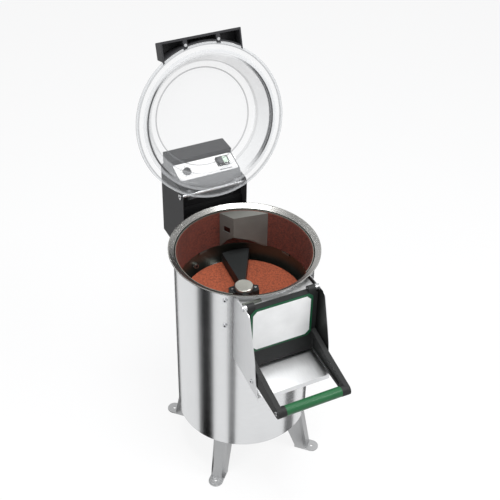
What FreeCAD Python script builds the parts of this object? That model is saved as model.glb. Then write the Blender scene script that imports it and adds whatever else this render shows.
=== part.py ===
import FreeCAD, Part
import Sketcher
import math
import os
import re

V = FreeCAD.Vector
doc = FreeCAD.newDocument("peeler")
sheet = doc.addObject("Spreadsheet::Sheet", "dims")
nodes = []
FUNCTIONS = ("sqrt", "sin", "cos", "tan", "asin", "atan", "min", "max", "abs", "create",
             "placement", "vector", "rotation", "deg")


# Driving sizes in millimetres and degrees, and the sizes that follow from them
SIZES = {
    # Overall layout
    "leg_height": 118,
    "drum_height": 495,
    "tank_radius": 165,
    "tank_wall": 1.5,
    "rim_height": "leg_height + drum_height",
    "rim_radius": "tank_radius + 12.6",
    "flare_height": 8,
    "rim_lip": 2.4,
    "pan_room": 0.1,
    "seat_gap": 0.3,
    "run_gap": 0.05,
    "sheet_wall": 1.5,
    # Legs and base
    "foot_circle": "tank_radius + 30",
    "foot_radius": 18,
    "foot_hole": 3.5,
    "foot_thick": 2.5,
    "leg_wall": 2.5,
    "leg_bevel": 6,
    "leg_splay": 22,
    "flange_top": 57,
    "flange_foot": 33,
    "base_thick": 4,
    "base_opening": 58,
    "base_screw_circle": "tank_radius - 29",
    "screw_hole": 4.2,
    "screw_shank": 4,
    "screw_head": 6.6,
    "screw_head_high": 5,
    "button_radius": 5.2,
    "button_height": 3,
    # Chamber floor, drive and spindle
    "deck_height": "rim_height - 221",
    "deck_thick": 5,
    "pan_wall": 1.5,
    "pan_lip": 9,
    "housing_radius": 30,
    "housing_flange": 38,
    "housing_drop": 118,
    "bearing_radius": 23.5,
    "bearing_width": 14,
    "spindle_radius": 10,
    "housing_bore": 13,
    "pulley_height": "deck_height - 192",
    "pulley_width": 18,
    "pulley_rim": 8,
    "web_low": 5,
    "web_high": 9,
    "nut_high": 6,
    "driven_radius": 76,
    "drive_radius": 15,
    "groove_depth": 2,
    "belt_thick": 4,
    "belt_width": 13,
    "shaft_centres": 98,
    "motor_radius": 58,
    "motor_length": 150,
    "motor_fin": 3,
    "motor_cap": 12,
    "motor_shaft_radius": 7,
    # Rotating plate
    "disc_height": "rim_height - 158",
    "disc_radius": "tank_radius - 16",
    "disc_thick": 8,
    "disc_hub_radius": 27,
    "disc_hub_depth": 26,
    "grit_thick": 3,
    "grit_margin": 1.5,
    "vane_angle": 26,
    "vane_azimuth": 73,
    "neck": 1,
    "vane_low": 30,
    "vane_high": 42,
    "hub_height": 36,
    "hub_radius": 25,
    "hub_ear": 36,
    "hub_ear_tip": 9,
    "hub_waist": 22,
    "ear_drop": 5,
    "cap_radius": 22.5,
    "cap_height": 6,
    "ear_screw_circle": 28,
    "ear_screw_radius": 3,
    # Lining and deflector
    "liner_bottom": "rim_height - 111",
    "liner_top": "rim_height - 8",
    "liner_gap": 2.3,
    "rest_high": 6,
    "liner_wall": 1.6,
    "grit_wall": 1.6,
    "door_half_angle": 34.6,
    "wedge_azimuth": 65,
    "wedge_nose_x": "tank_radius - 43",
    "wedge_nose_y": 25.5,
    "wedge_left_y": 60,
    "wedge_right_y": 59.5,
    "wedge_low": "rim_height - 119",
    "wedge_nose_low": "rim_height - 66",
    "wedge_top": "rim_height - 10",
    "wedge_wall": 2,
    "wedge_hole": 16,
    "wedge_hole_height": "rim_height - 51",
    # Chute
    "chute_half": 91,
    "chute_top": "rim_height - 5",
    "chute_nose_top": "tank_radius + 52",
    "chute_low_front": "tank_radius + 100",
    "chute_low_z": "rim_height - 211.5",
    "chute_root_z": "rim_height - 194",
    "chute_corner": 12,
    "opening_low": "rim_height - 188",
    "opening_top": "rim_height - 13",
    "opening_side_gap": 1,
    "flange_width": 22,
    "screw_inset": 14.5,
    "screw_upper": 22,
    "screw_lower": 96,
    "tray_screw_z": "chute_low_z + 29.5",
    "tray_lip": 11,
    # Door
    "pivot_y": "tank_radius + 20",
    "pivot_z": "rim_height - 10",
    "tray_screw_y": "pivot_y + 52",
    "barrel_radius": 8,
    "barrel_half": 84,
    "ear_long": 18,
    "pin_radius": 4,
    "collar_room": 4,
    "frame_depth": 15,
    "frame_low": "rim_height - 192",
    "frame_top": "rim_height - 15",
    "door_side_gap": 2,
    "frame_wall": 3,
    "label_half": 77.4,
    "label_low": "rim_height - 140",
    "label_top": "frame_top - 1.5",
    "label_corner": 10,
    "label_border": 6,
    "label_thick": 1,
    "skin_wall": 1.2,
    "skin_low": "rim_height - 185",
    "skin_gap": 0.2,
    "magnet_long": 44,
    "magnet_high": 4,
    "arm_width": 11.5,
    "arm_root_low": "rim_height - 182",
    "arm_root_high": "rim_height - 126",
    "grip_y": "tank_radius + 186",
    "grip_z": "rim_height - 177",
    "arm_tip": 12.6,
    "grip_radius": 12,
    "socket_radius": 12.4,
    "socket_length": 9,
    "grip_head": 4.6,
    "grip_head_high": 1.5,
    # Lid
    "hinge_y": "tank_radius + 14",
    "hinge_z": "rim_height + 50",
    "lid_open": 106.57,
    "flange_radius": "tank_radius + 16.5",
    "flange_thick": 4,
    "lid_wall": 3,
    "dome_foot": "tank_radius - 9",
    "dome_shoulder": "tank_radius - 31",
    "dome_flat": "tank_radius - 48",
    "dome_height": 53,
    "rod_radius": 4,
    "lug_x": 62,
    "lug_width": 8,
    "lug_radius": 12,
    "hinge_head": 7,
    "hinge_head_high": 3,
    "grasp_half": 97,
    "grasp_front": "tank_radius + 35",
    "grasp_back": "dome_foot - 26",
    "grasp_low": 3.5,
    "grasp_high": 33,
    "grasp_rake": 8,
    "grasp_wall": 3.5,
    "clamp_radius": 3.5,
    "clamp_high": 2,
    "rib_x": 40,
    "rib_wall": 5,
    # Rear tower and control head
    "tower_half": 84,
    "tower_low": "rim_height - 128",
    "tower_back": "tank_radius + 143",
    "tower_top": "rim_height + 67",
    "ear_front": "tank_radius",
    "ear_top": "tower_top - 2",
    "tower_wall": 1.5,
    "wall_y": "tank_radius + 31",
    "front_foot_y": "wall_y - 9",
    "front_step_z": "rim_height + 5",
    "head_half": 79,
    "head_front": "tower_back - 114",
    "head_front_z": "tower_top + 13",
    "head_step_y": "tower_back - 61",
    "head_step_z": "head_front_z + 15.5",
    "head_top": "tower_top + 42",
    "visor": 1.5,
    "visor_thick": 6,
    "head_rear_round": 9,
    "head_top_round": 3,
    "panel_half": 76,
    "panel_thick": 1.2,
    "knob_x": 50,
    "knob_along": 26,
    "knob_radius": 9.5,
    "knob_height": 8.5,
    "switch_x": 45,
    "switch_along": 31,
    "switch_wide": 31,
    "switch_deep": 26,
    "switch_high": 6,
    "key_gap": 0.5,
    "key_stand": 2.5,
    # Water connections and gland
    "drain_radius": 24,
    "drain_bore": 21.5,
    "drain_reach": "tank_radius + 47",
    "inlet_x": 62,
    "inlet_z": "rim_height - 143",
    "inlet_radius": 6,
    "inlet_bore": 4,
    "inlet_reach": "tank_radius + 35",
    "gland_x": 50,
    "gland_y": "tower_back - 43",
    "gland_radius": 11,
    "gland_bore": 5,
}
for row, (alias, amount) in enumerate(SIZES.items(), 1):
    sheet.set("A%d" % row, alias)
    sheet.set("B%d" % row, "=" + amount if isinstance(amount, str) else "%g" % amount)
    sheet.setAlias("B%d" % row, alias)
doc.recompute()


def ref(text):
    def mark(found):
        word = found.group(0)
        return word if word in FUNCTIONS else "dims." + word
    return re.sub(r"[A-Za-z_][A-Za-z_0-9]*", mark, str(text))


def bind(obj, prop, text):
    obj.setExpression(prop, ref(text))


def value(alias):
    return float(sheet.get(alias))


def node(obj, label):
    obj.Label = label
    nodes.append(obj)
    return obj


def place(obj, at=("0", "0", "0"), axis=None, angle=None):
    if axis is not None:
        obj.Placement = FreeCAD.Placement(V(0, 0, 0), FreeCAD.Rotation(V(*axis), 30.0))
        bind(obj, "Placement.Rotation.Angle", angle)
    for name, text in zip("xyz", at):
        bind(obj, "Placement.Base." + name, text)
    return obj


def arcsine(text):
    return "(asin(%s) / (1 deg))" % text


AXES = {"z": None, "x": ((0, 1, 0), "90"), "y": ((1, 0, 0), "-90")}


def cylinder(radius, height, at=("0", "0", "0"), along="z", angle=None, turn=None):
    obj = doc.addObject("Part::Cylinder", "Round")
    bind(obj, "Radius", radius)
    bind(obj, "Height", height)
    if angle is not None:
        bind(obj, "Angle", angle)
    if turn is not None:
        return place(obj, at, (0, 0, 1), turn)
    if AXES[along] is None:
        return place(obj, at)
    return place(obj, at, *AXES[along])


def block(wide, deep, high, at=("0", "0", "0")):
    obj = doc.addObject("Part::Box", "Block")
    bind(obj, "Length", wide)
    bind(obj, "Width", deep)
    bind(obj, "Height", high)
    return place(obj, at)


def cut(base, tool):
    obj = doc.addObject("Part::Cut", "Cut")
    obj.Base = base
    obj.Tool = tool
    return obj


def fuse(*parts):
    obj = doc.addObject("Part::MultiFuse", "Join")
    obj.Shapes = list(parts)
    return obj


def common(a, b):
    obj = doc.addObject("Part::Common", "Common")
    obj.Base = a
    obj.Tool = b
    return obj


def ring(outer, inner, height, at=("0", "0", "0"), along="z"):
    return cut(cylinder(outer, height, at, along), cylinder(inner, height, at, along))


def body(name):
    made = doc.addObject("PartDesign::Body", name)
    if hasattr(made, "AllowCompound"):
        made.AllowCompound = True
    return made


def origin(made, role):
    return [f for f in made.Origin.OriginFeatures if f.Role == role][0]


def sketch(made, plane, loops, lift=None):
    drawn = made.newObject("Sketcher::SketchObject", "Profile")
    drawn.AttachmentSupport = [(origin(made, plane), "")]
    drawn.MapMode = "FlatFace"
    if lift is not None:
        bind(drawn, "AttachmentOffset.Base.z", lift)
    for loop in loops:
        start = drawn.GeometryCount
        if isinstance(loop, tuple):
            drawn.addGeometry(Part.Circle(V(0, 0, 0), V(0, 0, 1), 1.0), False)
            number = len(drawn.Constraints)
            drawn.addConstraint([
                Sketcher.Constraint("DistanceX", -1, 1, start, 3, 0.0),
                Sketcher.Constraint("DistanceY", -1, 1, start, 3, 0.0),
                Sketcher.Constraint("Radius", start, 1.0)])
            for step in range(3):
                bind(drawn, "Constraints[%d]" % (number + step), loop[step])
            continue
        count = len(loop)
        spots = [V(math.cos(2 * math.pi * i / count), math.sin(2 * math.pi * i / count), 0)
                 for i in range(count)]
        drawn.addGeometry([Part.LineSegment(spots[i], spots[(i + 1) % count]) for i in range(count)], False)
        rules = []
        for i in range(count):
            rules.append(Sketcher.Constraint("Coincident", start + i, 2, start + (i + 1) % count, 1))
        for i in range(count):
            rules.append(Sketcher.Constraint("DistanceX", -1, 1, start + i, 1, spots[i].x))
            rules.append(Sketcher.Constraint("DistanceY", -1, 1, start + i, 1, spots[i].y))
        number = len(drawn.Constraints) + count
        drawn.addConstraint(rules)
        for i in range(count):
            bind(drawn, "Constraints[%d]" % (number + 2 * i), loop[i][0])
            bind(drawn, "Constraints[%d]" % (number + 2 * i + 1), loop[i][1])
    return drawn


def rect(x0, y0, x1, y1):
    return [(x0, y0), (x1, y0), (x1, y1), (x0, y1)]


def pad(made, drawn, length, both=False, back=False):
    feature = made.newObject("PartDesign::Pad", "Pad")
    feature.Profile = drawn
    bind(feature, "Length", length)
    feature.Midplane = both
    feature.Reversed = back
    made.Tip = feature
    return feature


def pocket(made, drawn, length, both=False, back=False):
    doc.recompute()
    before = made.Shape.Volume
    feature = made.newObject("PartDesign::Pocket", "Pocket")
    feature.Profile = drawn
    bind(feature, "Length", length)
    feature.Midplane = both
    feature.Reversed = back
    made.Tip = feature
    doc.recompute()
    if made.Shape.Volume >= before - 1e-6:
        raise RuntimeError("a pocket in %s removes nothing" % made.Label)
    return feature


def revolve(made, drawn):
    feature = made.newObject("PartDesign::Revolution", "Turn")
    feature.Profile = drawn
    feature.ReferenceAxis = (drawn, ["V_Axis"])
    feature.Angle = 360.0
    made.Tip = feature
    return feature


def soften(made, radius, test):
    doc.recompute()
    picked = ["Edge%d" % (i + 1) for i, edge in enumerate(made.Shape.Edges) if test(edge)]
    if not picked:
        raise RuntimeError("no edge to round in %s" % made.Label)
    under = made.Tip
    feature = made.newObject("PartDesign::Fillet", "Round")
    feature.Base = (under, picked)
    bind(feature, "Radius", radius)
    made.Tip = feature
    return feature


def near(a, b):
    return abs(a - b) < 0.02


def straight(edge, way):
    first, last = edge.Vertexes[0].Point, edge.Vertexes[-1].Point
    run = last - first
    return run.Length > 0.1 and run.normalize().cross(V(*way)).Length < 1e-4


# Tank
INNER = "tank_radius - tank_wall"
shell = body("tank_body")
revolve(shell, sketch(shell, "XZ_Plane", [[
    (INNER, "leg_height"), ("tank_radius", "leg_height"),
    ("tank_radius", "rim_height - flare_height"), ("rim_radius", "rim_height - tank_wall"),
    ("rim_radius", "rim_height"), ("rim_radius - rim_lip", "rim_height"),
    (INNER, "rim_height - flare_height + tank_wall * 0.6")]]))
OPEN_HALF = "chute_half + sheet_wall + seat_gap"
pocket(shell, sketch(shell, "XZ_Plane",
                     [rect("-(" + OPEN_HALF + ")", "opening_low", OPEN_HALF, "opening_top")]),
       "rim_radius + 20", back=True)
DRAIN_Z = "deck_height + deck_thick + pan_wall + drain_radius + 1"
pocket(shell, sketch(shell, "XZ_Plane", [("0", DRAIN_Z, "drain_radius + seat_gap")]), "rim_radius + 20")
pocket(shell, sketch(shell, "XZ_Plane", [("-inlet_x", "inlet_z", "inlet_radius + seat_gap")]),
       "rim_radius + 20")
side_screw = arcsine("(chute_half + sheet_wall + screw_inset) / tank_radius")


def radial(radius, height, out, z, azimuth):
    obj = doc.addObject("Part::Cylinder", "Round")
    bind(obj, "Radius", radius)
    bind(obj, "Height", height)
    bind(obj, "Placement", "create(<<placement>>; create(<<vector>>; (%s) * cos(%s); (%s) * sin(%s); %s); "
         "create(<<rotation>>; %s; 90; 0))" % (out, azimuth, out, azimuth, z, azimuth))
    return obj


screw_azimuths = ("-90 - " + side_screw, "-90 + " + side_screw)
screw_levels = ("chute_top - screw_upper", "chute_top - screw_lower")
holes = [radial("screw_hole", "20", "tank_radius - 10", z, a) for a in screw_azimuths for z in screw_levels]
node(cut(shell, fuse(*holes)), "tank_shell")

# Base ring
legs_at = ("45", "135", "225", "315")
base = cut(cylinder(INNER + " - seat_gap", "base_thick", ("0", "0", "leg_height")),
           cylinder("base_opening", "base_thick", ("0", "0", "leg_height")))
base_holes = [cylinder("screw_hole", "base_thick", ("base_screw_circle * cos(%s)" % a,
                       "base_screw_circle * sin(%s)" % a, "leg_height")) for a in legs_at]
node(cut(base, fuse(*base_holes)), "base_ring")


def leg(label, azimuth):
    made = body(label)
    out = "tank_radius + leg_splay"
    half = "foot_radius"
    inner = "(tank_radius - flange_top)"
    section = [
        (inner, "-" + half), (out + " - leg_bevel", "-" + half), (out, "-" + half + " + leg_bevel"),
        (out, half + " - leg_bevel"), (out + " - leg_bevel", half), (inner, half),
        (inner, half + " - leg_wall"), (out + " - leg_bevel - leg_wall * 0.41", half + " - leg_wall"),
        (out + " - leg_wall", half + " - leg_bevel - leg_wall * 0.41"),
        (out + " - leg_wall", "-" + half + " + leg_bevel + leg_wall * 0.41"),
        (out + " - leg_bevel - leg_wall * 0.41", "-" + half + " + leg_wall"),
        (inner, "-" + half + " + leg_wall")]
    tall = pad(made, sketch(made, "XY_Plane", [section]), "leg_height")
    tall.UseCustomVector = True
    tall.AlongSketchNormal = True
    tall.Direction = V(-0.2, 0, 1)
    bind(tall, "Direction.x", "-leg_splay / leg_height")
    trim = [("-10", "-1"), (out + " - flange_foot", "-1"), (out + " - flange_foot", "foot_thick + 6"),
            ("tank_radius - flange_top", "leg_height - leg_wall"), ("-10", "leg_height - leg_wall")]
    pocket(made, sketch(made, "XZ_Plane", [trim]), "foot_radius * 3", both=True)
    cap = rect("tank_radius - flange_top", "-" + half, "tank_radius - leg_bevel", half)
    pad(made, sketch(made, "XY_Plane", [cap], "leg_height - leg_wall"), "leg_wall")
    tab = rect(out + " - leg_bevel", "-" + half, "foot_circle", half)
    pad(made, sketch(made, "XY_Plane", [tab]), "foot_thick")
    pad(made, sketch(made, "XY_Plane", [("foot_circle", "0", "foot_radius")]), "foot_thick")
    pocket(made, sketch(made, "XY_Plane", [("foot_circle", "0", "foot_hole")]), "foot_thick * 4", both=True)
    pocket(made, sketch(made, "XY_Plane", [("base_screw_circle", "0", "screw_hole")], "leg_height"),
           "leg_wall * 2")
    place(made, ("0", "0", "0"), (0, 0, 1), azimuth)
    return node(made, label)


leg("leg_rear_right", "45")
leg("leg_rear_left", "135")
leg("leg_front_left", "225")
leg("leg_front_right", "315")

screws = []
for a in legs_at:
    spot = ("base_screw_circle * cos(%s)" % a, "base_screw_circle * sin(%s)" % a)
    screws.append(cylinder("screw_shank", "base_thick + leg_wall + 3", spot + ("leg_height - leg_wall",)))
    screws.append(cylinder("screw_head", "screw_head_high",
                           spot + ("leg_height - leg_wall - screw_head_high",)))
node(fuse(*screws), "leg_screws")

# Chamber floor
PAN = "deck_height + deck_thick"
pan = body("pan_body")
edge = INNER + " - seat_gap"
revolve(pan, sketch(pan, "XZ_Plane", [[
    ("housing_radius + 6", PAN), (edge, PAN), (edge, PAN + " + pan_lip"),
    (edge + " - pan_wall", PAN + " + pan_lip"), (edge + " - pan_wall", PAN + " + pan_wall"),
    ("housing_radius + 6 + pan_wall", PAN + " + pan_wall"),
    ("housing_radius + 6 + pan_wall", PAN + " + pan_lip"),
    ("housing_radius + 6", PAN + " + pan_lip")]]))
node(cut(pan, cylinder("drain_radius + seat_gap", "60", ("0", "tank_radius - 30", DRAIN_Z), "y")),
     "chamber_floor")
node(cut(cylinder(edge, "deck_thick", ("0", "0", "deck_height")),
         cylinder("housing_radius + seat_gap", "deck_thick", ("0", "0", "deck_height"))), "drive_deck")

# Spindle bearing housing
TOP = PAN + " + pan_lip - 2"
LOW = "deck_height - housing_drop"
housing = body("housing_body")
revolve(housing, sketch(housing, "XZ_Plane", [[
    ("bearing_radius", LOW), ("housing_radius", LOW), ("housing_radius", "deck_height - 8"),
    ("housing_flange", "deck_height - 8"), ("housing_flange", "deck_height"),
    ("housing_radius", "deck_height"),
    ("housing_radius", TOP), ("bearing_radius", TOP), ("bearing_radius", TOP + " - bearing_width - 7"),
    ("housing_bore", TOP + " - bearing_width - 7"), ("housing_bore", LOW + " + bearing_width"),
    ("bearing_radius", LOW + " + bearing_width")]]))
node(housing, "bearing_housing")
bearing_out = "bearing_radius - seat_gap / 3"
node(fuse(ring(bearing_out, "spindle_radius + run_gap", "bearing_width", ("0", "0", LOW)),
          ring(bearing_out, "spindle_radius + run_gap", "bearing_width",
               ("0", "0", TOP + " - bearing_width - 7"))), "spindle_bearings")
node(ring(bearing_out, "spindle_radius + run_gap", "6.8", ("0", "0", TOP + " - 6.8")), "shaft_seal")

# Spindle and driven pulley
spindle = body("spindle_body")
DISC_LOW = "disc_height - disc_hub_depth"
revolve(spindle, sketch(spindle, "XZ_Plane", [[
    ("0", "pulley_height - 10"), ("spindle_radius - 1", "pulley_height - 10"),
    ("spindle_radius - 1", "pulley_height + pulley_width"),
    ("spindle_radius", "pulley_height + pulley_width"),
    ("spindle_radius", DISC_LOW + " - seat_gap"),
    ("spindle_radius + 4", DISC_LOW + " - seat_gap"), ("spindle_radius + 4", DISC_LOW + " - seat_gap + 3"),
    ("spindle_radius - 2", DISC_LOW + " + 3"),
    ("spindle_radius - 2", "disc_height + hub_height - 3"), ("0", "disc_height + hub_height - 3")]]))
node(spindle, "spindle")


def grooved(made, outer, bore, low, wide, web=None):
    points = [(bore, low), (outer, low)]
    if web is not None:
        points = [(bore, low), (web, low), (web, low + " + web_low"),
                  (outer + " - pulley_rim", low + " + web_low"),
                  (outer + " - pulley_rim", low), (outer, low)]
    for i in range(3):
        points.append((outer, "%s + %s * %g" % (low, wide, 0.16 + 0.25 * i)))
        points.append((outer + " - groove_depth", "%s + %s * %g" % (low, wide, 0.25 + 0.25 * i)))
        points.append((outer, "%s + %s * %g" % (low, wide, 0.34 + 0.25 * i)))
    points.append((outer, low + " + " + wide))
    if web is not None:
        points += [(outer + " - pulley_rim", low + " + " + wide),
                   (outer + " - pulley_rim", low + " + web_high"),
                   (web, low + " + web_high"), (web, low + " + " + wide)]
    points.append((bore, low + " + " + wide))
    revolve(made, sketch(made, "XZ_Plane", [points]))
    return made


big = grooved(body("driven_body"), "driven_radius", "spindle_radius - 1 + run_gap", "pulley_height",
              "pulley_width", "spindle_radius + 9")
window = sketch(big, "XY_Plane", [("(spindle_radius + driven_radius) / 2", "0", "driven_radius * 0.2")],
                "pulley_height")
pocket(big, window, "pulley_width", back=True)
first = big.Tip
spokes = big.newObject("PartDesign::PolarPattern", "Windows")
spokes.Originals = [first]
spokes.Axis = (origin(big, "Z_Axis"), [""])
spokes.Angle = 360.0
spokes.Occurrences = 5
big.Tip = spokes
node(big, "driven_pulley")
node(ring("spindle_radius + 5", "spindle_radius - 1 + seat_gap", "nut_high",
          ("0", "0", "pulley_height - nut_high - 2")),
     "pulley_nut")

# Motor
MX = "-shaft_centres"
MOTOR_LOW = "deck_height - motor_length"
motor = body("motor_body")
pad(motor, sketch(motor, "XY_Plane", [("0", "0", "motor_radius - motor_fin")], MOTOR_LOW), "motor_length")
pad(motor, sketch(motor, "XY_Plane", [("0", "0", "motor_radius")], MOTOR_LOW), "motor_cap")
pad(motor, sketch(motor, "XY_Plane", [("0", "0", "motor_radius")], "deck_height - motor_cap"), "motor_cap")
fin = rect("motor_radius - motor_fin * 2", "-1.5", "motor_radius", "1.5")
pad(motor, sketch(motor, "XY_Plane", [fin], MOTOR_LOW), "motor_length - 6")
fin_pad = motor.Tip
fins = motor.newObject("PartDesign::PolarPattern", "Fins")
fins.Originals = [fin_pad]
fins.Axis = (origin(motor, "Z_Axis"), [""])
fins.Angle = 360.0
fins.Occurrences = 20
motor.Tip = fins
pocket(motor, sketch(motor, "XY_Plane", [("0", "0", "motor_shaft_radius + run_gap")], MOTOR_LOW),
       "motor_length * 0.85", back=True)
place(motor, (MX, "0", "0"))
node(motor, "motor_housing")
node(cylinder("motor_shaft_radius", "deck_height - motor_length * 0.18 - pulley_height + 6",
              (MX, "0", "pulley_height - 6")), "motor_shaft")
small = grooved(body("drive_body"), "drive_radius", "motor_shaft_radius + run_gap", "pulley_height",
                "pulley_width")
place(small, (MX, "0", "0"))
node(small, "drive_pulley")

# Belt round both pulleys
belt_gap = value("seat_gap") + 0.1
r_big = value("driven_radius") + belt_gap
r_small = value("drive_radius") + belt_gap
span = value("shaft_centres")


def loop_face(grow):
    a, b = r_big + grow, r_small + grow
    lean = math.acos((a - b) / span)
    c, s = math.cos(lean), math.sin(lean)
    p1, p2 = V(-a * c, a * s, 0), V(-span - b * c, b * s, 0)
    p3, p4 = V(-span - b * c, -b * s, 0), V(-a * c, -a * s, 0)
    edges = [Part.makeLine(p1, p2), Part.Arc(p2, V(-span - b, 0, 0), p3).toShape(),
             Part.makeLine(p3, p4), Part.Arc(p4, V(a, 0, 0), p1).toShape()]
    return Part.Face(Part.Wire(edges))


belt = doc.addObject("Part::Feature", "drive_belt")
band = loop_face(value("belt_thick")).cut(loop_face(0.0))
belt.Shape = band.extrude(V(0, 0, value("belt_width")))
belt.Placement = FreeCAD.Placement(V(0, 0,
    value("pulley_height") + (value("pulley_width") - value("belt_width")) / 2),
                                   FreeCAD.Rotation())
node(belt, "drive_belt")

# Rotating plate
disc = body("disc_body")
revolve(disc, sketch(disc, "XZ_Plane", [[
    ("spindle_radius - 2 + run_gap", DISC_LOW + " + 3 + seat_gap"),
    ("spindle_radius + 4 + seat_gap", DISC_LOW + " + 3"),
    ("spindle_radius + 4 + seat_gap", DISC_LOW), ("disc_hub_radius", DISC_LOW),
    ("disc_hub_radius + 5", "disc_height - disc_thick"),
    ("disc_radius - 10", "disc_height - disc_thick"), ("disc_radius - 6", "disc_height - disc_thick - 9"),
    ("disc_radius - 2", "disc_height - disc_thick - 9"), ("disc_radius", "disc_height - disc_thick"),
    ("disc_radius", "disc_height - 1"), ("disc_radius - 1", "disc_height"),
    ("spindle_radius - 2 + run_gap", "disc_height")]]))
node(disc, "plate_disc")
HALF = "vane_angle / 2"
FAR = "disc_radius * 1.5"


def lozenge(grow):
    waist, tip, long = "(hub_waist + %s)" % grow, "(hub_ear_tip + %s)" % grow, "(hub_ear + %s)" % grow
    return [(waist, "0"), (tip, long), ("-" + tip, long), ("-" + waist, "0"), ("-" + tip, "-" + long),
            (tip, "-" + long)]


WING = "(neck + disc_radius * 1.5 * tan(%s))" % HALF
grit = body("grit_body")
pad(grit, sketch(grit, "XY_Plane", [("0", "0", "disc_radius - grit_margin"), ("0", "0", "hub_radius + 1")],
                 "disc_height"), "grit_thick")
bow = [("0", "neck + seat_gap"), (FAR, WING + " + seat_gap"), (FAR, "-%s - seat_gap" % WING),
       ("0", "-neck - seat_gap"),
       ("-" + FAR, "-%s - seat_gap" % WING), ("-" + FAR, WING + " + seat_gap")]
pocket(grit, sketch(grit, "XY_Plane", [bow], "disc_height"), "grit_thick", back=True)
pocket(grit, sketch(grit, "XY_Plane", [lozenge("seat_gap")], "disc_height"), "grit_thick", back=True)
place(grit, ("0", "0", "0"), (0, 0, 1), "vane_azimuth")
node(grit, "plate_abrasive")

vane = body("vane_body")
hump = [("-disc_radius * 0.25", "disc_height"), ("disc_radius * 0.25", "disc_height"),
        ("disc_radius * 0.25", "disc_height + vane_low"), ("-disc_radius * 0.25", "disc_height + vane_high")]
pad(vane, sketch(vane, "YZ_Plane", [hump]), "disc_radius")
arm_pad = vane.Tip
pair = vane.newObject("PartDesign::PolarPattern", "Pair")
pair.Originals = [arm_pad]
pair.Axis = (origin(vane, "Z_Axis"), [""])
pair.Angle = 360.0
pair.Occurrences = 2
vane.Tip = pair
for sign in ("", "-"):
    gore = [("0", sign + "neck"), (FAR, sign + WING), (FAR, sign + "(disc_radius)"),
            ("-" + FAR, sign + "(disc_radius)"), ("-" + FAR, sign + WING)]
    pocket(vane, sketch(vane, "XY_Plane", [gore], "disc_height"), "200", back=True)
pocket(vane, sketch(vane, "XY_Plane",
                    [("0", "0", "disc_radius * 2"), ("0", "0", "disc_radius - grit_margin")],
                    "disc_height"), "200", back=True)
pocket(vane, sketch(vane, "XY_Plane", [("0", "0", "hub_radius + 2")], "disc_height + hub_height"), "200",
       back=True)
pad(vane, sketch(vane, "XY_Plane", [("0", "0", "hub_radius")], "disc_height"), "hub_height")
pad(vane, sketch(vane, "XY_Plane", [lozenge("0")], "disc_height"), "hub_height - ear_drop")
pocket(vane, sketch(vane, "XY_Plane", [("0", "0", "spindle_radius - 2 + run_gap")], "disc_height"),
       "hub_height + 40", back=True)
place(vane, ("0", "0", "0"), (0, 0, 1), "vane_azimuth")
node(vane, "vane_bar")

cap = body("cap_body")
HUB_TOP = "disc_height + hub_height"
revolve(cap, sketch(cap, "XZ_Plane", [[
    ("0", HUB_TOP), ("cap_radius", HUB_TOP), ("cap_radius", HUB_TOP + " + cap_height - 1.5"),
    ("cap_radius - 1.5", HUB_TOP + " + cap_height"), ("0", HUB_TOP + " + cap_height - 0.6")]]))
node(cap, "hub_cap")
ear_screws = []
for sign in ("", "-"):
    spot = ("%s(-ear_screw_circle * sin(vane_azimuth))" % sign,
            "%s(ear_screw_circle * cos(vane_azimuth))" % sign, HUB_TOP + " - ear_drop")
    ear_screws.append(cylinder("ear_screw_radius", "2.5", spot))
node(fuse(*ear_screws), "vane_screws")

# Lining
LINER_OUT = INNER + " - liner_gap"
SPAN_DEG = "360 - 2 * door_half_angle"
START = "door_half_angle - 90"


def shell_sector(outer, wall, low, high):
    out = cylinder(outer, "(%s) - (%s)" % (high, low), ("0", "0", low), angle=SPAN_DEG, turn=START)
    inn = cylinder("(%s) - %s" % (outer, wall), "(%s) - (%s)" % (high, low), ("0", "0", low))
    return cut(out, inn)


node(shell_sector(LINER_OUT, "liner_wall", "liner_bottom", "liner_top"), "liner_sleeve")
node(shell_sector(LINER_OUT + " - liner_wall", "grit_wall", "liner_bottom + 2", "liner_top - 2"),
     "wall_abrasive")
rests = []
for a in ("20", "100", "160", "214"):
    outer = cylinder(INNER + " - pan_room", "rest_high", ("0", "0", "liner_bottom - rest_high"), angle="8",
                     turn=a)
    rests.append(cut(outer, cylinder("%s - grit_wall - liner_wall" % LINER_OUT, "rest_high",
                                     ("0", "0", "liner_bottom - rest_high"))))
node(fuse(*rests), "liner_rests")

# Deflector wedge, drawn with its middle on local X
WALL_R = LINER_OUT + " - liner_wall - grit_wall - seat_gap"
wedge = body("wedge_body")
left_x = "wedge_nose_x + (wedge_left_y - wedge_nose_y) * 0.71"
right_x = "wedge_nose_x + (wedge_right_y + wedge_nose_y) * 0.29"
plan = [("wedge_nose_x", "wedge_nose_y"), (left_x, "wedge_left_y"), (left_x + " + 40", "wedge_left_y"),
        (right_x + " + 40", "-wedge_right_y"), (right_x, "-wedge_right_y")]
pad(wedge, sketch(wedge, "XY_Plane", [plan], "wedge_low"), "wedge_top - wedge_low")
hollow = [("wedge_nose_x + wedge_wall * 1.4", "wedge_nose_y + wedge_wall * 0.1"),
          (left_x + " + wedge_wall * 1.4", "wedge_left_y"), (left_x + " + 60", "wedge_left_y + 10"),
          (right_x + " + 60", "-wedge_right_y - 10"), (right_x + " + wedge_wall * 1.05", "-wedge_right_y")]
pocket(wedge, sketch(wedge, "XY_Plane", [hollow], "wedge_low"), "wedge_top - wedge_low - wedge_wall",
       back=True)
slope = [("0", "wedge_low - 5"), ("wedge_nose_x + 33", "wedge_low - 5"), ("wedge_nose_x + 28", "wedge_low"),
         ("wedge_nose_x + 14", "wedge_low + 33"), ("wedge_nose_x", "wedge_nose_low"), ("0", "wedge_nose_low")]
pocket(wedge, sketch(wedge, "XZ_Plane", [slope]), "300", both=True)
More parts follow.
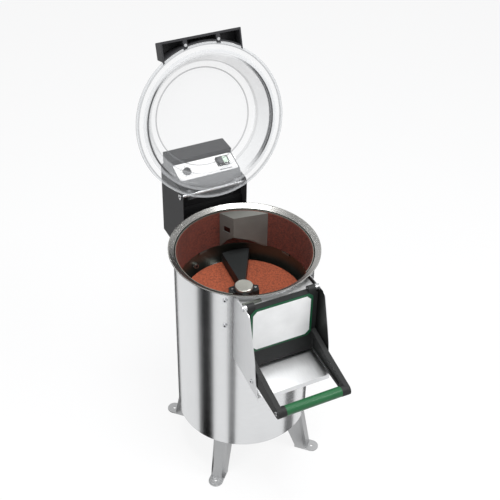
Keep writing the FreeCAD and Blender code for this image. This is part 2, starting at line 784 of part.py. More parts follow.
square = rect("wedge_nose_x + 6", "wedge_hole_height - wedge_hole / 2",
              "wedge_nose_x + 6 + wedge_hole * 0.8", "wedge_hole_height + wedge_hole / 2")
pocket(wedge, sketch(wedge, "XZ_Plane", [square], "-wedge_nose_y"), "90")
place(wedge, ("0", "0", "0"), (0, 0, 1), "wedge_azimuth")
node(common(wedge, cylinder(WALL_R, "200", ("0", "0", "wedge_low - 10"))), "deflector_wedge")

# Chute side plates, tray and screws
SKIN_IN = INNER + " - seat_gap"
NOSE = [("-chute_nose_top", "chute_top"), ("-chute_nose_top - 24", "chute_top - 84"),
        ("-chute_nose_top - 33", "chute_top - 120"), ("-chute_nose_top - 42", "chute_top - 178"),
        ("-chute_low_front", "chute_low_z")]


def chute_plate(label, sign):
    made = body(label + "_body")
    root = "-sqrt((%s - sheet_wall / 2) * (%s - sheet_wall / 2) - chute_half * chute_half)" % (SKIN_IN,
                                                                                               SKIN_IN)
    skin = "-sqrt((tank_radius + seat_gap) * (tank_radius + seat_gap) - chute_half * chute_half)"
    under_rim = "rim_height - flare_height - seat_gap"
    outline = NOSE + [("-tank_radius - 17", "chute_root_z - 6"), (skin, "chute_root_z"),
                      (skin, "opening_low + seat_gap"), (root, "opening_low + seat_gap"),
                      (root, "opening_top - seat_gap"), (skin, "opening_top - seat_gap"),
                      (skin, under_rim), ("%s - (rim_radius - tank_radius) * 1.3" % skin, under_rim),
                      ("%s - (rim_radius - tank_radius) * 1.3" % skin, "chute_top")]
    lift = "chute_half" if sign > 0 else "-chute_half - sheet_wall"
    pad(made, sketch(made, "YZ_Plane", [outline], lift), "sheet_wall")
    soften(made, "chute_corner", lambda e: straight(e, (1, 0, 0))
           and near(e.Vertexes[0].Z, value("chute_top"))
           and near(e.Vertexes[0].Y, -value("chute_nose_top")))
    pocket(made, sketch(made, "YZ_Plane", [("-pivot_y", "pivot_z", "pin_radius + run_gap")], lift),
           "sheet_wall", back=True)
    pocket(made, sketch(made, "YZ_Plane", [("-tray_screw_y", "tray_screw_z", "screw_hole")], lift),
           "sheet_wall", back=True)
    near_edge = arcsine("chute_half / (%s)" % SKIN_IN)
    far_edge = arcsine("(chute_half + flange_width) / (%s)" % SKIN_IN)
    reach = "%s - %s" % (far_edge, near_edge)
    begin = "-90 + " + near_edge if sign > 0 else "-90 - " + far_edge
    tall = "opening_top - opening_low - 2 * seat_gap"
    low = ("0", "0", "opening_low + seat_gap")
    strip = cut(cylinder(SKIN_IN, tall, low, angle=reach, turn=begin),
                cylinder("%s - sheet_wall" % SKIN_IN, tall, low))
    pins = [radial("screw_hole", "20", "tank_radius - 10", z, screw_azimuths[0 if sign < 0 else 1])
            for z in screw_levels]
    return node(cut(fuse(made, strip), fuse(*pins)), label)


chute_plate("chute_plate_left", -1)
chute_plate("chute_plate_right", 1)
tray = body("tray_body")
slopes = "(chute_root_z - chute_low_z) / (chute_low_front - tank_radius + 28)"
back_y = "(tank_radius - 15)"
back_z = "chute_low_z + (chute_low_front - %s) * %s" % (back_y, slopes)
pad(tray, sketch(tray, "YZ_Plane", [[
    ("-" + back_y, back_z), ("-chute_low_front", "chute_low_z"),
    ("-chute_low_front", "chute_low_z - tray_lip"),
    ("-chute_low_front - sheet_wall", "chute_low_z - tray_lip"),
    ("-chute_low_front - sheet_wall", "chute_low_z + sheet_wall"),
    ("-" + back_y, back_z + " + sheet_wall")]]), "2 * chute_half", both=True)
node(cut(tray, cylinder("tank_radius + seat_gap", "80", ("0", "0", "chute_low_z - 20"))), "chute_tray")
button = []
for a in screw_azimuths:
    for z in screw_levels:
        button.append(radial("screw_shank", "4.2", "tank_radius - 3.5", z, a))
        button.append(radial("button_radius", "button_height", "tank_radius + 0.1", z, a))
for x in ("-chute_half - sheet_wall - button_height", "chute_half + sheet_wall"):
    button.append(cylinder("button_radius", "button_height", (x, "-tray_screw_y", "tray_screw_z"), "x"))
for x in ("-chute_half - sheet_wall", "chute_half - 1"):
    button.append(cylinder("screw_shank", "sheet_wall + 1", (x, "-tray_screw_y", "tray_screw_z"), "x"))
node(fuse(*button), "chute_screws")

# Door
SIDE = "chute_half - door_side_gap"
FACE_Y = "-pivot_y - barrel_radius"
BACK_Y = "-pivot_y - barrel_radius + frame_depth"
frame = body("frame_body")
pad(frame, sketch(frame, "YZ_Plane", [[
    (FACE_Y, "frame_low + 3"), (FACE_Y + " + 3", "frame_low"), (BACK_Y, "frame_low"),
    (BACK_Y, "frame_top"), (FACE_Y, "frame_top")]]), "2 * (%s)" % SIDE, both=True)
cells = [rect("-(%s) + frame_wall" % SIDE, "frame_low + frame_wall", "-(%s) / 3 - frame_wall / 2" % SIDE,
              "frame_top - frame_wall"),
         rect("-(%s) / 3 + frame_wall / 2" % SIDE, "frame_low + frame_wall",
              "(%s) / 3 - frame_wall / 2" % SIDE, "frame_top - frame_wall"),
         rect("(%s) / 3 + frame_wall / 2" % SIDE, "frame_low + frame_wall", "(%s) - frame_wall" % SIDE,
              "frame_top - frame_wall")]
pocket(frame, sketch(frame, "XZ_Plane", cells, "pivot_y + barrel_radius - frame_depth"),
       "frame_depth - frame_wall", back=True)
for lift in ("barrel_half - ear_long", "-barrel_half"):
    pad(frame, sketch(frame, "YZ_Plane", [("-pivot_y", "pivot_z", "barrel_radius")], lift), "ear_long")
    pad(frame, sketch(frame, "YZ_Plane", [rect(FACE_Y, "frame_top - 1", "-pivot_y + 5", "pivot_z")], lift),
        "ear_long")
pocket(frame, sketch(frame, "YZ_Plane", [("-pivot_y", "pivot_z", "pin_radius + run_gap")]),
       "3 * barrel_half", both=True)
shoulders = [rect("-(%s) - 1" % SIDE, "frame_top - collar_room", "-barrel_half", "frame_top + 1"),
             rect("barrel_half", "frame_top - collar_room", "(%s) + 1" % SIDE, "frame_top + 1")]
pocket(frame, sketch(frame, "XZ_Plane", shoulders), "pivot_y + barrel_radius + 5", back=True)
node(frame, "door_frame")


def corner_plate(half, low, high, corner):
    return [("-(%s) + %s" % (half, corner), low), ("(%s) - %s" % (half, corner), low),
            (half, low + " + " + corner),
            (half, high + " - " + corner), ("(%s) - %s" % (half, corner), high),
            ("-(%s) + %s" % (half, corner), high),
            ("-(%s)" % half, high + " - " + corner), ("-(%s)" % half, low + " + " + corner)]


border = body("border_body")
pad(border, sketch(border, "XZ_Plane", [corner_plate("label_half", "label_low", "label_top", "label_corner")],
                   "pivot_y + barrel_radius"), "label_thick")
node(border, "label_border")
face = body("label_body")
pad(face, sketch(face, "XZ_Plane", [corner_plate("label_half - label_border", "label_low + label_border",
                                                 "label_top - label_border", "label_corner")],
                 "pivot_y + barrel_radius + label_thick"), "label_thick * 0.5")
node(face, "label_face")

# Curved inner skin of the door with its top and side flanges
DOOR_R = INNER + " - skin_gap"
SKIN_X = "chute_half - opening_side_gap - 1.5"
skin_half = arcsine("(%s) / (%s)" % (SKIN_X, DOOR_R))
skin_deg = "2 * " + skin_half
skin_turn = "-90 - " + skin_half
SKIN_TALL = "frame_top - skin_low"
curved = cut(cylinder(DOOR_R, SKIN_TALL, ("0", "0", "skin_low"), angle=skin_deg, turn=skin_turn),
             cylinder("%s - skin_wall" % DOOR_R, SKIN_TALL, ("0", "0", "skin_low")))
REAR = "sqrt((%s) * (%s) - (%s) * (%s))" % (DOOR_R, DOOR_R, SKIN_X, SKIN_X)
sides = [block("skin_wall", "(pivot_y + barrel_radius - frame_depth) - %s + 1" % REAR, SKIN_TALL,
               (x, "-(pivot_y + barrel_radius - frame_depth)", "skin_low"))
         for x in ("-(%s)" % SKIN_X, "(%s) - skin_wall" % SKIN_X)]
lintel = cut(block("2 * (%s)" % SKIN_X, "pivot_y + barrel_radius - frame_depth - %s + 1" % REAR, "skin_wall",
                   ("-(%s)" % SKIN_X, "-(pivot_y + barrel_radius - frame_depth)", "frame_top")),
             cylinder("%s - skin_wall" % DOOR_R, "skin_wall", ("0", "0", "frame_top")))
node(fuse(curved, lintel, *sides), "door_skin")
node(block("magnet_long", "8.5", "magnet_high",
           ("-86", "-pivot_y + barrel_radius + seat_gap", "frame_top + skin_wall")),
     "door_magnet")


def door_arm(label, sign):
    made = body(label + "_body")
    tip_low, tip_high = "grip_z - arm_tip", "grip_z + arm_tip"
    outline = [(FACE_Y, "arm_root_low"), ("-grip_y", tip_low), ("-grip_y", tip_high),
               ("-grip_y + 95", tip_high + " + 21"), (FACE_Y, "arm_root_high")]
    lift = "(%s) - arm_width" % SIDE if sign > 0 else "-(%s)" % SIDE
    pad(made, sketch(made, "YZ_Plane", [outline], lift), "arm_width")
    pad(made, sketch(made, "YZ_Plane", [("-grip_y", "grip_z", "arm_tip")], lift), "arm_width")
    groove = [(FACE_Y + " - 14", "arm_root_low + 10"), ("-grip_y + 22", "grip_z - 5"),
              ("-grip_y + 22", "grip_z + 5"),
              (FACE_Y + " - 14", "arm_root_high - 16")]
    inner = "(%s) - arm_width" % SIDE if sign > 0 else "-(%s) + arm_width" % SIDE
    pocket(made, sketch(made, "YZ_Plane", [groove], inner), "arm_width * 0.3", back=sign > 0)
    return node(made, label)


door_arm("door_arm_left", -1)
door_arm("door_arm_right", 1)
ARM_IN = "(%s) - arm_width" % SIDE
node(cylinder("grip_radius", "2 * (%s) - 1" % ARM_IN, ("-(%s) + 0.5" % ARM_IN, "-grip_y", "grip_z"), "x"),
     "grip_tube")
node(fuse(ring("socket_radius", "grip_radius + run_gap", "socket_length",
               ("-(%s)" % ARM_IN, "-grip_y", "grip_z"), "x"),
          ring("socket_radius", "grip_radius + run_gap", "socket_length",
               ("%s - socket_length" % ARM_IN, "-grip_y", "grip_z"), "x")), "grip_sockets")
node(fuse(cylinder("grip_head", "grip_head_high", ("-(%s) - grip_head_high" % SIDE, "-grip_y", "grip_z"),
                   "x"),
          cylinder("grip_head", "grip_head_high", (SIDE, "-grip_y", "grip_z"), "x")), "grip_screws")
pins = []
for x, head, collar in (("-chute_half - sheet_wall - 1", "-chute_half - sheet_wall - 2.4", "-chute_half"),
                        ("barrel_half - ear_long", "chute_half + sheet_wall", "barrel_half + seat_gap")):
    pins.append(cylinder("pin_radius", "chute_half + sheet_wall + 1 - barrel_half + ear_long",
                         (x, "-pivot_y", "pivot_z"), "x"))
    pins.append(cylinder("pin_radius + 2.4", "2.4", (head, "-pivot_y", "pivot_z"), "x"))
    pins.append(cylinder("pin_radius + 3.2", "chute_half - barrel_half - seat_gap",
                         (collar, "-pivot_y", "pivot_z"), "x"))
node(fuse(*pins), "door_pins")

# Lid, drawn closed about its own flange plane and then tipped open about the rear rod
T2 = "flange_thick / 2"
bowl = body("bowl_body")
revolve(bowl, sketch(bowl, "XZ_Plane", [[
    ("dome_foot - lid_wall - 2", "-" + T2), ("flange_radius", "-" + T2), ("flange_radius", T2 + " + 2.5"),
    ("flange_radius - 3.5", T2 + " + 2.5"), ("flange_radius - 5.5", T2), ("dome_foot", T2),
    ("dome_foot - 3", T2 + " + 8"), ("dome_shoulder", "dome_height - 8"),
    ("dome_shoulder - 6", "dome_height - 2.5"), ("dome_flat", "dome_height"), ("0", "dome_height"),
    ("0", "dome_height - lid_wall"), ("dome_flat - 1", "dome_height - lid_wall"),
    ("dome_shoulder - 8", "dome_height - 2.5 - lid_wall"),
    ("dome_shoulder - lid_wall - 0.5", "dome_height - 10"),
    ("dome_foot - 3 - lid_wall", T2 + " + 6")]]))
LUG_Z = "hinge_z - rim_height - seat_gap - flange_thick / 2"
for lift in ("lug_x - lug_width / 2", "-lug_x - lug_width / 2"):
    lug = [("dome_foot - 4", "0"), ("flange_radius - 13", "0"), ("flange_radius - 6", T2 + " + 3"),
           ("hinge_y + lug_radius * 0.94", LUG_Z + " - 4"), ("hinge_y", LUG_Z),
           ("hinge_y - lug_radius * 0.9", LUG_Z + " - 8"),
           ("dome_foot + 2", T2 + " + 12")]
    pad(bowl, sketch(bowl, "YZ_Plane", [lug], lift), "lug_width")
    pad(bowl, sketch(bowl, "YZ_Plane", [("hinge_y", LUG_Z, "lug_radius")], lift), "lug_width")
pocket(bowl, sketch(bowl, "YZ_Plane", [("hinge_y", LUG_Z, "rod_radius + run_gap")]), "lug_x * 4", both=True)


def tip_open(obj):
    closed_z = "(rim_height + seat_gap + flange_thick / 2)"
    drop = "(hinge_z - %s)" % closed_z
    place(obj, ("0", "hinge_y - hinge_y * cos(lid_open) + %s * sin(-lid_open)" % drop,
                "hinge_z - hinge_y * sin(-lid_open) - %s * cos(lid_open)" % drop), (1, 0, 0), "-lid_open")
    return obj


tip_open(bowl)
node(bowl, "lid_bowl")

outer = body("grasp_body")
pad(outer, sketch(outer, "XY_Plane", [rect("-grasp_half", "-grasp_front", "grasp_half", "-grasp_back")],
                  "-grasp_low"), "grasp_low + grasp_high")
pocket(outer, sketch(outer, "XY_Plane", [("0", "0", "flange_radius + 1")], "-grasp_low"), "200", back=True)
rake = [("-grasp_front", "-grasp_low - 1"), ("-grasp_front - 30", "-grasp_low - 1"),
        ("-grasp_front - 30", "grasp_high + 5"), ("-grasp_front + grasp_rake", "grasp_high + 5")]
pocket(outer, sketch(outer, "YZ_Plane", [rake]), "4 * grasp_half", both=True)
soften(outer, "4", lambda e: straight(e, (1, 0, 0)) and e.BoundBox.ZMin > value("grasp_high") - 0.1
       and e.BoundBox.YMax < -value("grasp_front") + value("grasp_rake") + 3)
inner_half = "(grasp_half - grasp_wall)"
core = body("grasp_core")
pad(core, sketch(core, "XY_Plane",
                 [rect("-" + inner_half, "-grasp_front + grasp_wall + 2", inner_half, "-grasp_back")],
                 "-grasp_low - 1"), "grasp_low + grasp_high + 1 - grasp_wall")
pocket(core, sketch(core, "XY_Plane", [("0", "0", "flange_radius + 1 + grasp_wall")], "-grasp_low - 1"),
       "200", back=True)
rake_in = [("-grasp_front + grasp_wall", "-grasp_low - 2"), ("-grasp_front - 30", "-grasp_low - 2"),
           ("-grasp_front - 30", "grasp_high + 5"),
           ("-grasp_front + grasp_rake + grasp_wall", "grasp_high + 5")]
pocket(core, sketch(core, "YZ_Plane", [rake_in]), "4 * grasp_half", both=True)
ribs = [block("rib_wall", "80", "grasp_high", (x, "-grasp_front", "-grasp_low - 1"))
        for x in ("rib_x - rib_wall / 2", "-rib_x - rib_wall / 2")]
hooks = []
for x, wide in (("rib_x - rib_wall", "2 * rib_wall"), ("-rib_x - rib_wall", "2 * rib_wall"),
                ("grasp_half - grasp_wall", "grasp_wall"), ("-grasp_half", "grasp_wall")):
    hooks.append(block(wide, "grasp_front", "grasp_low - flange_thick / 2 - seat_gap",
                       (x, "-grasp_front + 2", "-grasp_low")))
tabs = cut(fuse(*hooks), cylinder("flange_radius - 3", "grasp_low", ("0", "0", "-grasp_low")))
tabs = cut(tabs, block("4 * grasp_half", "grasp_front", "grasp_low",
                       ("-2 * grasp_half", "-grasp_back", "-grasp_low")))
hollowed = fuse(cut(outer, cut(core, fuse(*ribs))), tabs)
tip_open(hollowed)
node(hollowed, "lid_handle")
clamp = []
for x in ("rib_x", "-rib_x"):
    clamp.append(cylinder("clamp_radius", "clamp_high",
                          (x, "-sqrt((flange_radius + 6) * (flange_radius + 6) - rib_x * rib_x)",
                                       "-grasp_low - clamp_high")))
node(tip_open(fuse(*clamp)), "handle_screws")

# Rear tower
tower = body("tower_body")
pad(tower, sketch(tower, "XY_Plane", [rect("-tower_half", "tank_radius - 20", "tower_half", "tower_back")],
                  "tower_low"), "tower_top + 6 - tower_low")
pocket(tower, sketch(tower, "XY_Plane", [rect("-tower_half + tower_wall", "0", "tower_half - tower_wall",
                                              "tower_back - tower_wall")], "tower_low + tower_wall"), "400",
                                              back=True)
profile_cut = [("0", "rim_height - flare_height - 7"), ("ear_front", "rim_height - flare_height - 7"),
               ("ear_front", "ear_top - 8"), ("ear_front + 6", "ear_top"), ("wall_y + 4", "tower_top"),
               ("tower_back + 5", "tower_top"), ("tower_back + 5", "tower_top + 60"), ("0", "tower_top + 60")]
pocket(tower, sketch(tower, "YZ_Plane", [profile_cut]), "4 * tower_half", both=True)
pocket(tower, sketch(tower, "YZ_Plane", [("hinge_y", "hinge_z", "rod_radius + run_gap")]), "4 * tower_half",
       both=True)
soften(tower, "5", lambda e: straight(e, (0, 0, 1)) and near(e.Vertexes[0].Y, value("tower_back")))
gland_hole = cylinder("gland_radius - 3", "30", ("gland_x", "gland_y", "tower_low - 10"))
node(cut(tower, fuse(cylinder("tank_radius + seat_gap", "400", ("0", "0", "tower_low - 50")), gland_hole)),
     "tower_housing")
front = body("front_body")
pad(front, sketch(front, "YZ_Plane", [[
    ("wall_y", "tower_top - seat_gap"), ("wall_y", "front_step_z"), ("front_foot_y", "front_step_z"),
    ("front_foot_y", "tower_low + tower_wall"), ("front_foot_y + tower_wall", "tower_low + tower_wall"),
    ("front_foot_y + tower_wall", "front_step_z - tower_wall"),
    ("wall_y + tower_wall", "front_step_z - tower_wall"), ("wall_y + tower_wall", "tower_top - seat_gap")]]),
    "2 * (tower_half - tower_wall)", both=True)
node(front, "tower_front")
node(cylinder("rod_radius", "2 * tower_half", ("-tower_half", "hinge_y", "hinge_z"), "x"), "hinge_rod")
node(fuse(cylinder("hinge_head", "hinge_head_high", ("-tower_half - hinge_head_high", "hinge_y", "hinge_z"),
                   "x"),
          cylinder("hinge_head", "hinge_head_high", ("tower_half", "hinge_y", "hinge_z"), "x")),
          "hinge_screws")

# Control head
head = body("head_body")
pad(head, sketch(head, "YZ_Plane", [[
    ("head_front", "tower_top"), ("head_front", "head_front_z"), ("head_step_y", "head_step_z"),
    ("head_step_y", "head_top - visor_thick"), ("head_step_y - visor", "head_top - visor_thick"),
    ("head_step_y - visor", "head_top"), ("tower_back - 15", "head_top"),
    ("tower_back", "head_top - head_rear_round"),
    ("tower_back", "tower_top")]]), "2 * head_half", both=True)
soften(head, "head_rear_round", lambda e: straight(e, (0, 0, 1))
       and near(e.Vertexes[0].Y, value("tower_back")))
soften(head, "head_top_round", lambda e: straight(e, (0, 1, 0)) and near(e.Vertexes[0].Z, value("head_top")))
node(head, "control_head")
RISE, RUN = "(head_step_z - head_front_z)", "(head_step_y - head_front)"
TILT = "atan(%s / %s)" % (RISE, RUN)
LONG = "sqrt(%s * %s + %s * %s)" % (RISE, RISE, RUN, RUN)


def on_panel(obj, x, along, up="0"):
    place(obj, (x, "head_front + (%s) * cos(%s) - (%s) * sin(%s)" % (along, TILT, up, TILT),
                "head_front_z + (%s) * sin(%s) + (%s) * cos(%s)" % (along, TILT, up, TILT)), (1, 0, 0), TILT)
    return obj


panel = body("panel_body")
pad(panel, sketch(panel, "XY_Plane", [corner_plate("panel_half", "2.5", LONG + " - 1.5", "3")]),
    "panel_thick")
on_panel(panel, "0", "0")
node(panel, "control_panel")

# Timer knob
knob = body("knob_body")
revolve(knob, sketch(knob, "XZ_Plane", [[
    ("0", "0.3"), ("knob_radius + 1.5", "0.3"), ("knob_radius + 1.5", "1.8"), ("knob_radius", "3"),
    ("knob_radius - 1.2", "knob_height - 1.2"), ("knob_radius - 2.4", "knob_height"), ("0", "knob_height")]]))
pad(knob, sketch(knob, "XY_Plane", [rect("-1.2", "0", "1.2", "knob_radius - 3")], "knob_height - 0.5"), "1.3")
on_panel(knob, "-knob_x", "knob_along", "panel_thick")
node(knob, "timer_knob")

# Two-key switch
bezel = body("bezel_body")
pad(bezel, sketch(bezel, "XY_Plane",
                  [rect("-switch_wide / 2", "-switch_deep / 2", "switch_wide / 2", "switch_deep / 2")]),
    "switch_high")
WELL_X, WELL_Y = "(switch_wide / 2 - 3)", "(switch_deep / 2 - 3)"
pocket(bezel, sketch(bezel, "XY_Plane", [rect("-" + WELL_X, "-" + WELL_Y, WELL_X, WELL_Y)], "1"),
       "switch_high", back=True)
soften(bezel, "2.5", lambda e: straight(e, (0, 0, 1)) and e.BoundBox.ZMin < 0.1)
on_panel(bezel, "switch_x", "switch_along", "panel_thick")
node(bezel, "switch_bezel")


def key(label, sign):
    made = body(label + "_body")
    x0, x1 = "key_gap / 2", WELL_X + " - key_gap"
    if sign < 0:
        x0, x1 = "-%s + key_gap" % WELL_X, "-key_gap / 2"
    shape = rect(x0, "-%s + key_gap" % WELL_Y, x1, "%s - key_gap" % WELL_Y)
    pad(made, sketch(made, "XY_Plane", [shape], "1 + key_stand + 0.4"), "switch_high - 1 - 0.4")
    soften(made, "0.8", lambda e: e.BoundBox.ZMin > value("switch_high") + value("key_stand") - 0.05)
    on_panel(made, "switch_x", "switch_along", "panel_thick")
    return node(made, label)


key("stop_key", -1)
key("start_key", 1)

# Drain spigot, water inlet and cable gland
spout = body("spout_body")
revolve(spout, sketch(spout, "XZ_Plane", [[
    ("drain_bore", INNER + " - 14"), ("drain_radius", INNER + " - 14"),
    ("drain_radius", "tank_radius + seat_gap"),
    ("drain_radius + 6", "tank_radius + seat_gap"), ("drain_radius + 6", "tank_radius + 4"),
    ("drain_radius", "tank_radius + 4"), ("drain_radius", "drain_reach - 1.5"),
    ("drain_radius - 1", "drain_reach"),
    ("drain_bore", "drain_reach")]]))
place(spout, ("0", "0", DRAIN_Z), (1, 0, 0), "-90")
node(spout, "drain_spigot")
feed = body("feed_body")
NUT_Y = "sqrt(tank_radius * tank_radius - inlet_x * inlet_x) + 1"
revolve(feed, sketch(feed, "XZ_Plane", [[
    ("inlet_bore", NUT_Y + " - 12"), ("inlet_radius", NUT_Y + " - 12"), ("inlet_radius", NUT_Y + " + 6"),
    ("inlet_radius + 4", NUT_Y + " + 6"), ("inlet_radius + 4", NUT_Y + " + 12"),
    ("inlet_radius", NUT_Y + " + 12"),
    ("inlet_radius", "inlet_reach - 12"), ("inlet_radius + 1", "inlet_reach - 10"),
    ("inlet_radius", "inlet_reach - 7"),
    ("inlet_radius", "inlet_reach - 6"), ("inlet_radius + 1", "inlet_reach - 5"),
    ("inlet_radius - 1", "inlet_reach"),
    ("inlet_bore", "inlet_reach")]]))
place(feed, ("-inlet_x", "0", "inlet_z"), (1, 0, 0), "-90")
node(feed, "water_inlet")
gland = body("gland_body")
revolve(gland, sketch(gland, "XZ_Plane", [[
    ("gland_bore", "-22"), ("gland_radius - 3", "-22"), ("gland_radius - 1", "-18"),
    ("gland_radius - 1", "-8"),
    ("gland_radius", "-8"), ("gland_radius", "0"), ("gland_radius - 3 - seat_gap", "0"),
    ("gland_radius - 3 - seat_gap", "8"), ("gland_bore", "8")]]))
place(gland, ("gland_x", "gland_y", "tower_low"))
node(gland, "cable_gland")

doc.recompute()
for item in doc.Objects:
    if "Invalid" in item.State or "Error" in item.State:
        raise RuntimeError("%s (%s) failed: %s" % (item.Name, item.Label, item.State))
os.makedirs("parts", exist_ok=True)
for item in nodes:
    if item.Shape.isNull() or not item.Shape.isValid():
        raise RuntimeError("%s has no valid shape" % item.Label)
    item.Shape.exportStep("parts/%s.step" % item.Label)
print(len(nodes), "pieces written")
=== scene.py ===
import math

import bmesh
import bpy
from mathutils import Matrix, Vector


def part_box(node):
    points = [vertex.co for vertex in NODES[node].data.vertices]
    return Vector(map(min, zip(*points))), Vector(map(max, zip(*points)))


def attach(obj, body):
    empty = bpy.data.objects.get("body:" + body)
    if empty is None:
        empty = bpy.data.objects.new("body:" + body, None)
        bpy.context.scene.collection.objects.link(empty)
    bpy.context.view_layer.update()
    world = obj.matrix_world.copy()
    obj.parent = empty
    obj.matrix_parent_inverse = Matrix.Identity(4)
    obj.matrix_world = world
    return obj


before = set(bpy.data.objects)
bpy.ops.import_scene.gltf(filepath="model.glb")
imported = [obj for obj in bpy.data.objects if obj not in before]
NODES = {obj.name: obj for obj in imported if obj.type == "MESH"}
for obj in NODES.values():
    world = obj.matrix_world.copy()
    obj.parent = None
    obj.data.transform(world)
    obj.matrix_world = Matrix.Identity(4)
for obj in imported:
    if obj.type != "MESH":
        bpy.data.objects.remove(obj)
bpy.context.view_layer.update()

bl_info = {
    "name": "Electric potato peeler",
    "version": (1, 0, 0),
    "blender": (4, 5, 0),
    "location": "View3D > Sidebar > Peeler",
    "description": "Finishes, trim and stage for a floor-standing drum peeler",
    "category": "Add Mesh",
}


# Shader maths

class Wire:
    """A node socket that takes part in plain arithmetic."""

    def __init__(self, tree, socket):
        self.tree = tree
        self.socket = socket

    def _math(self, operation, *values):
        return self.tree.node("ShaderNodeMath", {"operation": operation}, values)

    def __add__(self, other):
        return self._math("ADD", self, other)

    def __radd__(self, other):
        return self._math("ADD", other, self)

    def __sub__(self, other):
        return self._math("SUBTRACT", self, other)

    def __rsub__(self, other):
        return self._math("SUBTRACT", other, self)

    def __mul__(self, other):
        return self._math("MULTIPLY", self, other)

    def __rmul__(self, other):
        return self._math("MULTIPLY", other, self)

    def __truediv__(self, other):
        return self._math("DIVIDE", self, other)

    def clamp(self):
        return self.tree.node("ShaderNodeClamp", {}, (self, 0.0, 1.0))


class Finish:
    """One procedural material, built on a Principled shader."""

    def __init__(self, name):
        self.material = bpy.data.materials.new(name)
        self.material.use_nodes = True
        self.links = self.material.node_tree.links
        self.nodes = self.material.node_tree.nodes
        self.shader = self.nodes["Principled BSDF"]
        self.place = Wire(self, self.nodes.new("ShaderNodeTexCoord").outputs["Object"])

    def node(self, kind, settings, values, output=0):
        made = self.nodes.new(kind)
        for key, setting in settings.items():
            setattr(made, key, setting)
        pairs = values.items() if isinstance(values, dict) else enumerate(values)
        for key, value in pairs:
            self.feed(made.inputs[key], value)
        return Wire(self, made.outputs[output])

    def feed(self, socket, value):
        if isinstance(value, Wire):
            self.links.new(value.socket, socket)
        else:
            socket.default_value = value

    def stretch(self, x, y, z):
        return self.node("ShaderNodeMapping", {}, {"Vector": self.place, "Scale": (x, y, z)})

    def noise(self, scale, detail=3.0, rough=0.55, where=None):
        return self.node("ShaderNodeTexNoise", {}, {
            "Vector": where or self.place, "Scale": scale, "Detail": detail, "Roughness": rough})

    def cells(self, scale):
        return self.node("ShaderNodeTexVoronoi", {}, {"Vector": self.place, "Scale": scale})

    def ramp(self, wire, low, high):
        return self.node("ShaderNodeMapRange", {}, {
            "Value": wire, "From Min": low, "From Max": high, "To Min": 0.0, "To Max": 1.0})

    def mix(self, factor, a, b):
        made = self.nodes.new("ShaderNodeMix")
        made.data_type = "RGBA"
        for key, value in ((0, factor), (6, a), (7, b)):
            self.feed(made.inputs[key], value)
        return Wire(self, made.outputs[2])

    def bump(self, height, distance, strength=1.0):
        return self.node("ShaderNodeBump", {}, {
            "Height": height, "Distance": distance, "Strength": strength})

    def split(self, where=None):
        """The three coordinates of a place, in order."""
        made = self.nodes.new("ShaderNodeSeparateXYZ")
        self.feed(made.inputs[0], where or self.place)
        return [Wire(self, made.outputs[i]) for i in range(3)]

    def reach(self, a, b):
        """The distance from an axis, out of two coordinates across it."""
        return self.node("ShaderNodeMath", {"operation": "POWER"}, (a * a + b * b, 0.5))

    def given(self, name):
        """What already feeds one of the shader's sockets."""
        return Wire(self, self.shader.inputs[name].links[0].from_socket)

    def set(self, **values):
        for key, value in values.items():
            self.feed(self.shader.inputs[key.replace("_", " ")], value)


def paint(red, green, blue):
    """An sRGB colour in 0 to 255 as the linear colour that a shader takes."""
    def linear(c):
        c = c / 255.0
        return c / 12.92 if c <= 0.04045 else ((c + 0.055) / 1.055) ** 2.4
    return (linear(red), linear(green), linear(blue), 1.0)


def scaled(colour, share):
    """A colour times a share, with its alpha kept where it has one."""
    return tuple(c * share for c in colour[:3]) + tuple(colour[3:])


def dress(finish, *names):
    """Gives a finish to CAD nodes by name."""
    for name in names:
        mesh = NODES[name].data
        mesh.materials.clear()
        mesh.materials.append(finish.material)


# Finishes

# Stretch of the brushed grain: round the drum, across flat sheet, and up a standing plate
ROUND_GRAIN = (40.0, 40.0, 900.0)
FLAT_GRAIN = (900.0, 60.0, 60.0)
UPRIGHT_GRAIN = (700.0, 700.0, 40.0)
# Height of that grain on plain sheet, and on the drum, which mirrors the most
SHEET_GRAIN = 0.00003
DRUM_GRAIN = 0.000003
# From the base ring's edge, just inside the drum, to the drum's outer face
RING_TO_OUTSIDE = 0.0018
# Specular level of pale and of dark plastics, and the tone above which a plastic counts as pale
PALE_GLOSS = 0.5
DARK_GLOSS = 0.2
PALE_FROM = 120
# Scale and height of the grain on films and print, on the textured coat and on the keys
FILM_GRAIN = (2000.0, 0.00001)
COAT_GRAIN = (1100.0, 0.00012)
KEY_GRAIN = (1800.0, 0.00002)
# Middle of the lid's hinge rod, the open lid's turn about it from closed, and the closed flange's height over
# the rim
LID_HINGE = Vector((0, 0.179, 0.663))
LID_TIP = math.radians(-106.57)
FLANGE_LIFT = 0.0023
# Radii of the clear bowl: foot of the dome, its shoulder, its flat top and the flange's edge
DOME_FOOT = 0.156
DOME_SHOULDER = 0.134
DOME_FLAT = 0.117
FLANGE_EDGE = 0.1815


def satin_sheet(name, tone, grain, along, rough=0.3):
    """Brushed stainless sheet. The grain runs along the axis with the small scale."""
    f = Finish(name)
    hair = f.noise(1.0, 5.0, 0.7, f.stretch(*along))
    cloud = f.noise(9.0, 3.0)
    light = paint(*tone)
    f.set(Base_Color=f.mix(f.ramp(hair, 0.3, 0.7) * 0.6 + cloud * 0.3, scaled(light, 0.82), light))
    f.set(Metallic=1.0, Roughness=rough + hair * 0.14 + cloud * 0.05)
    f.set(Normal=f.bump(hair, grain, 0.35))
    return f


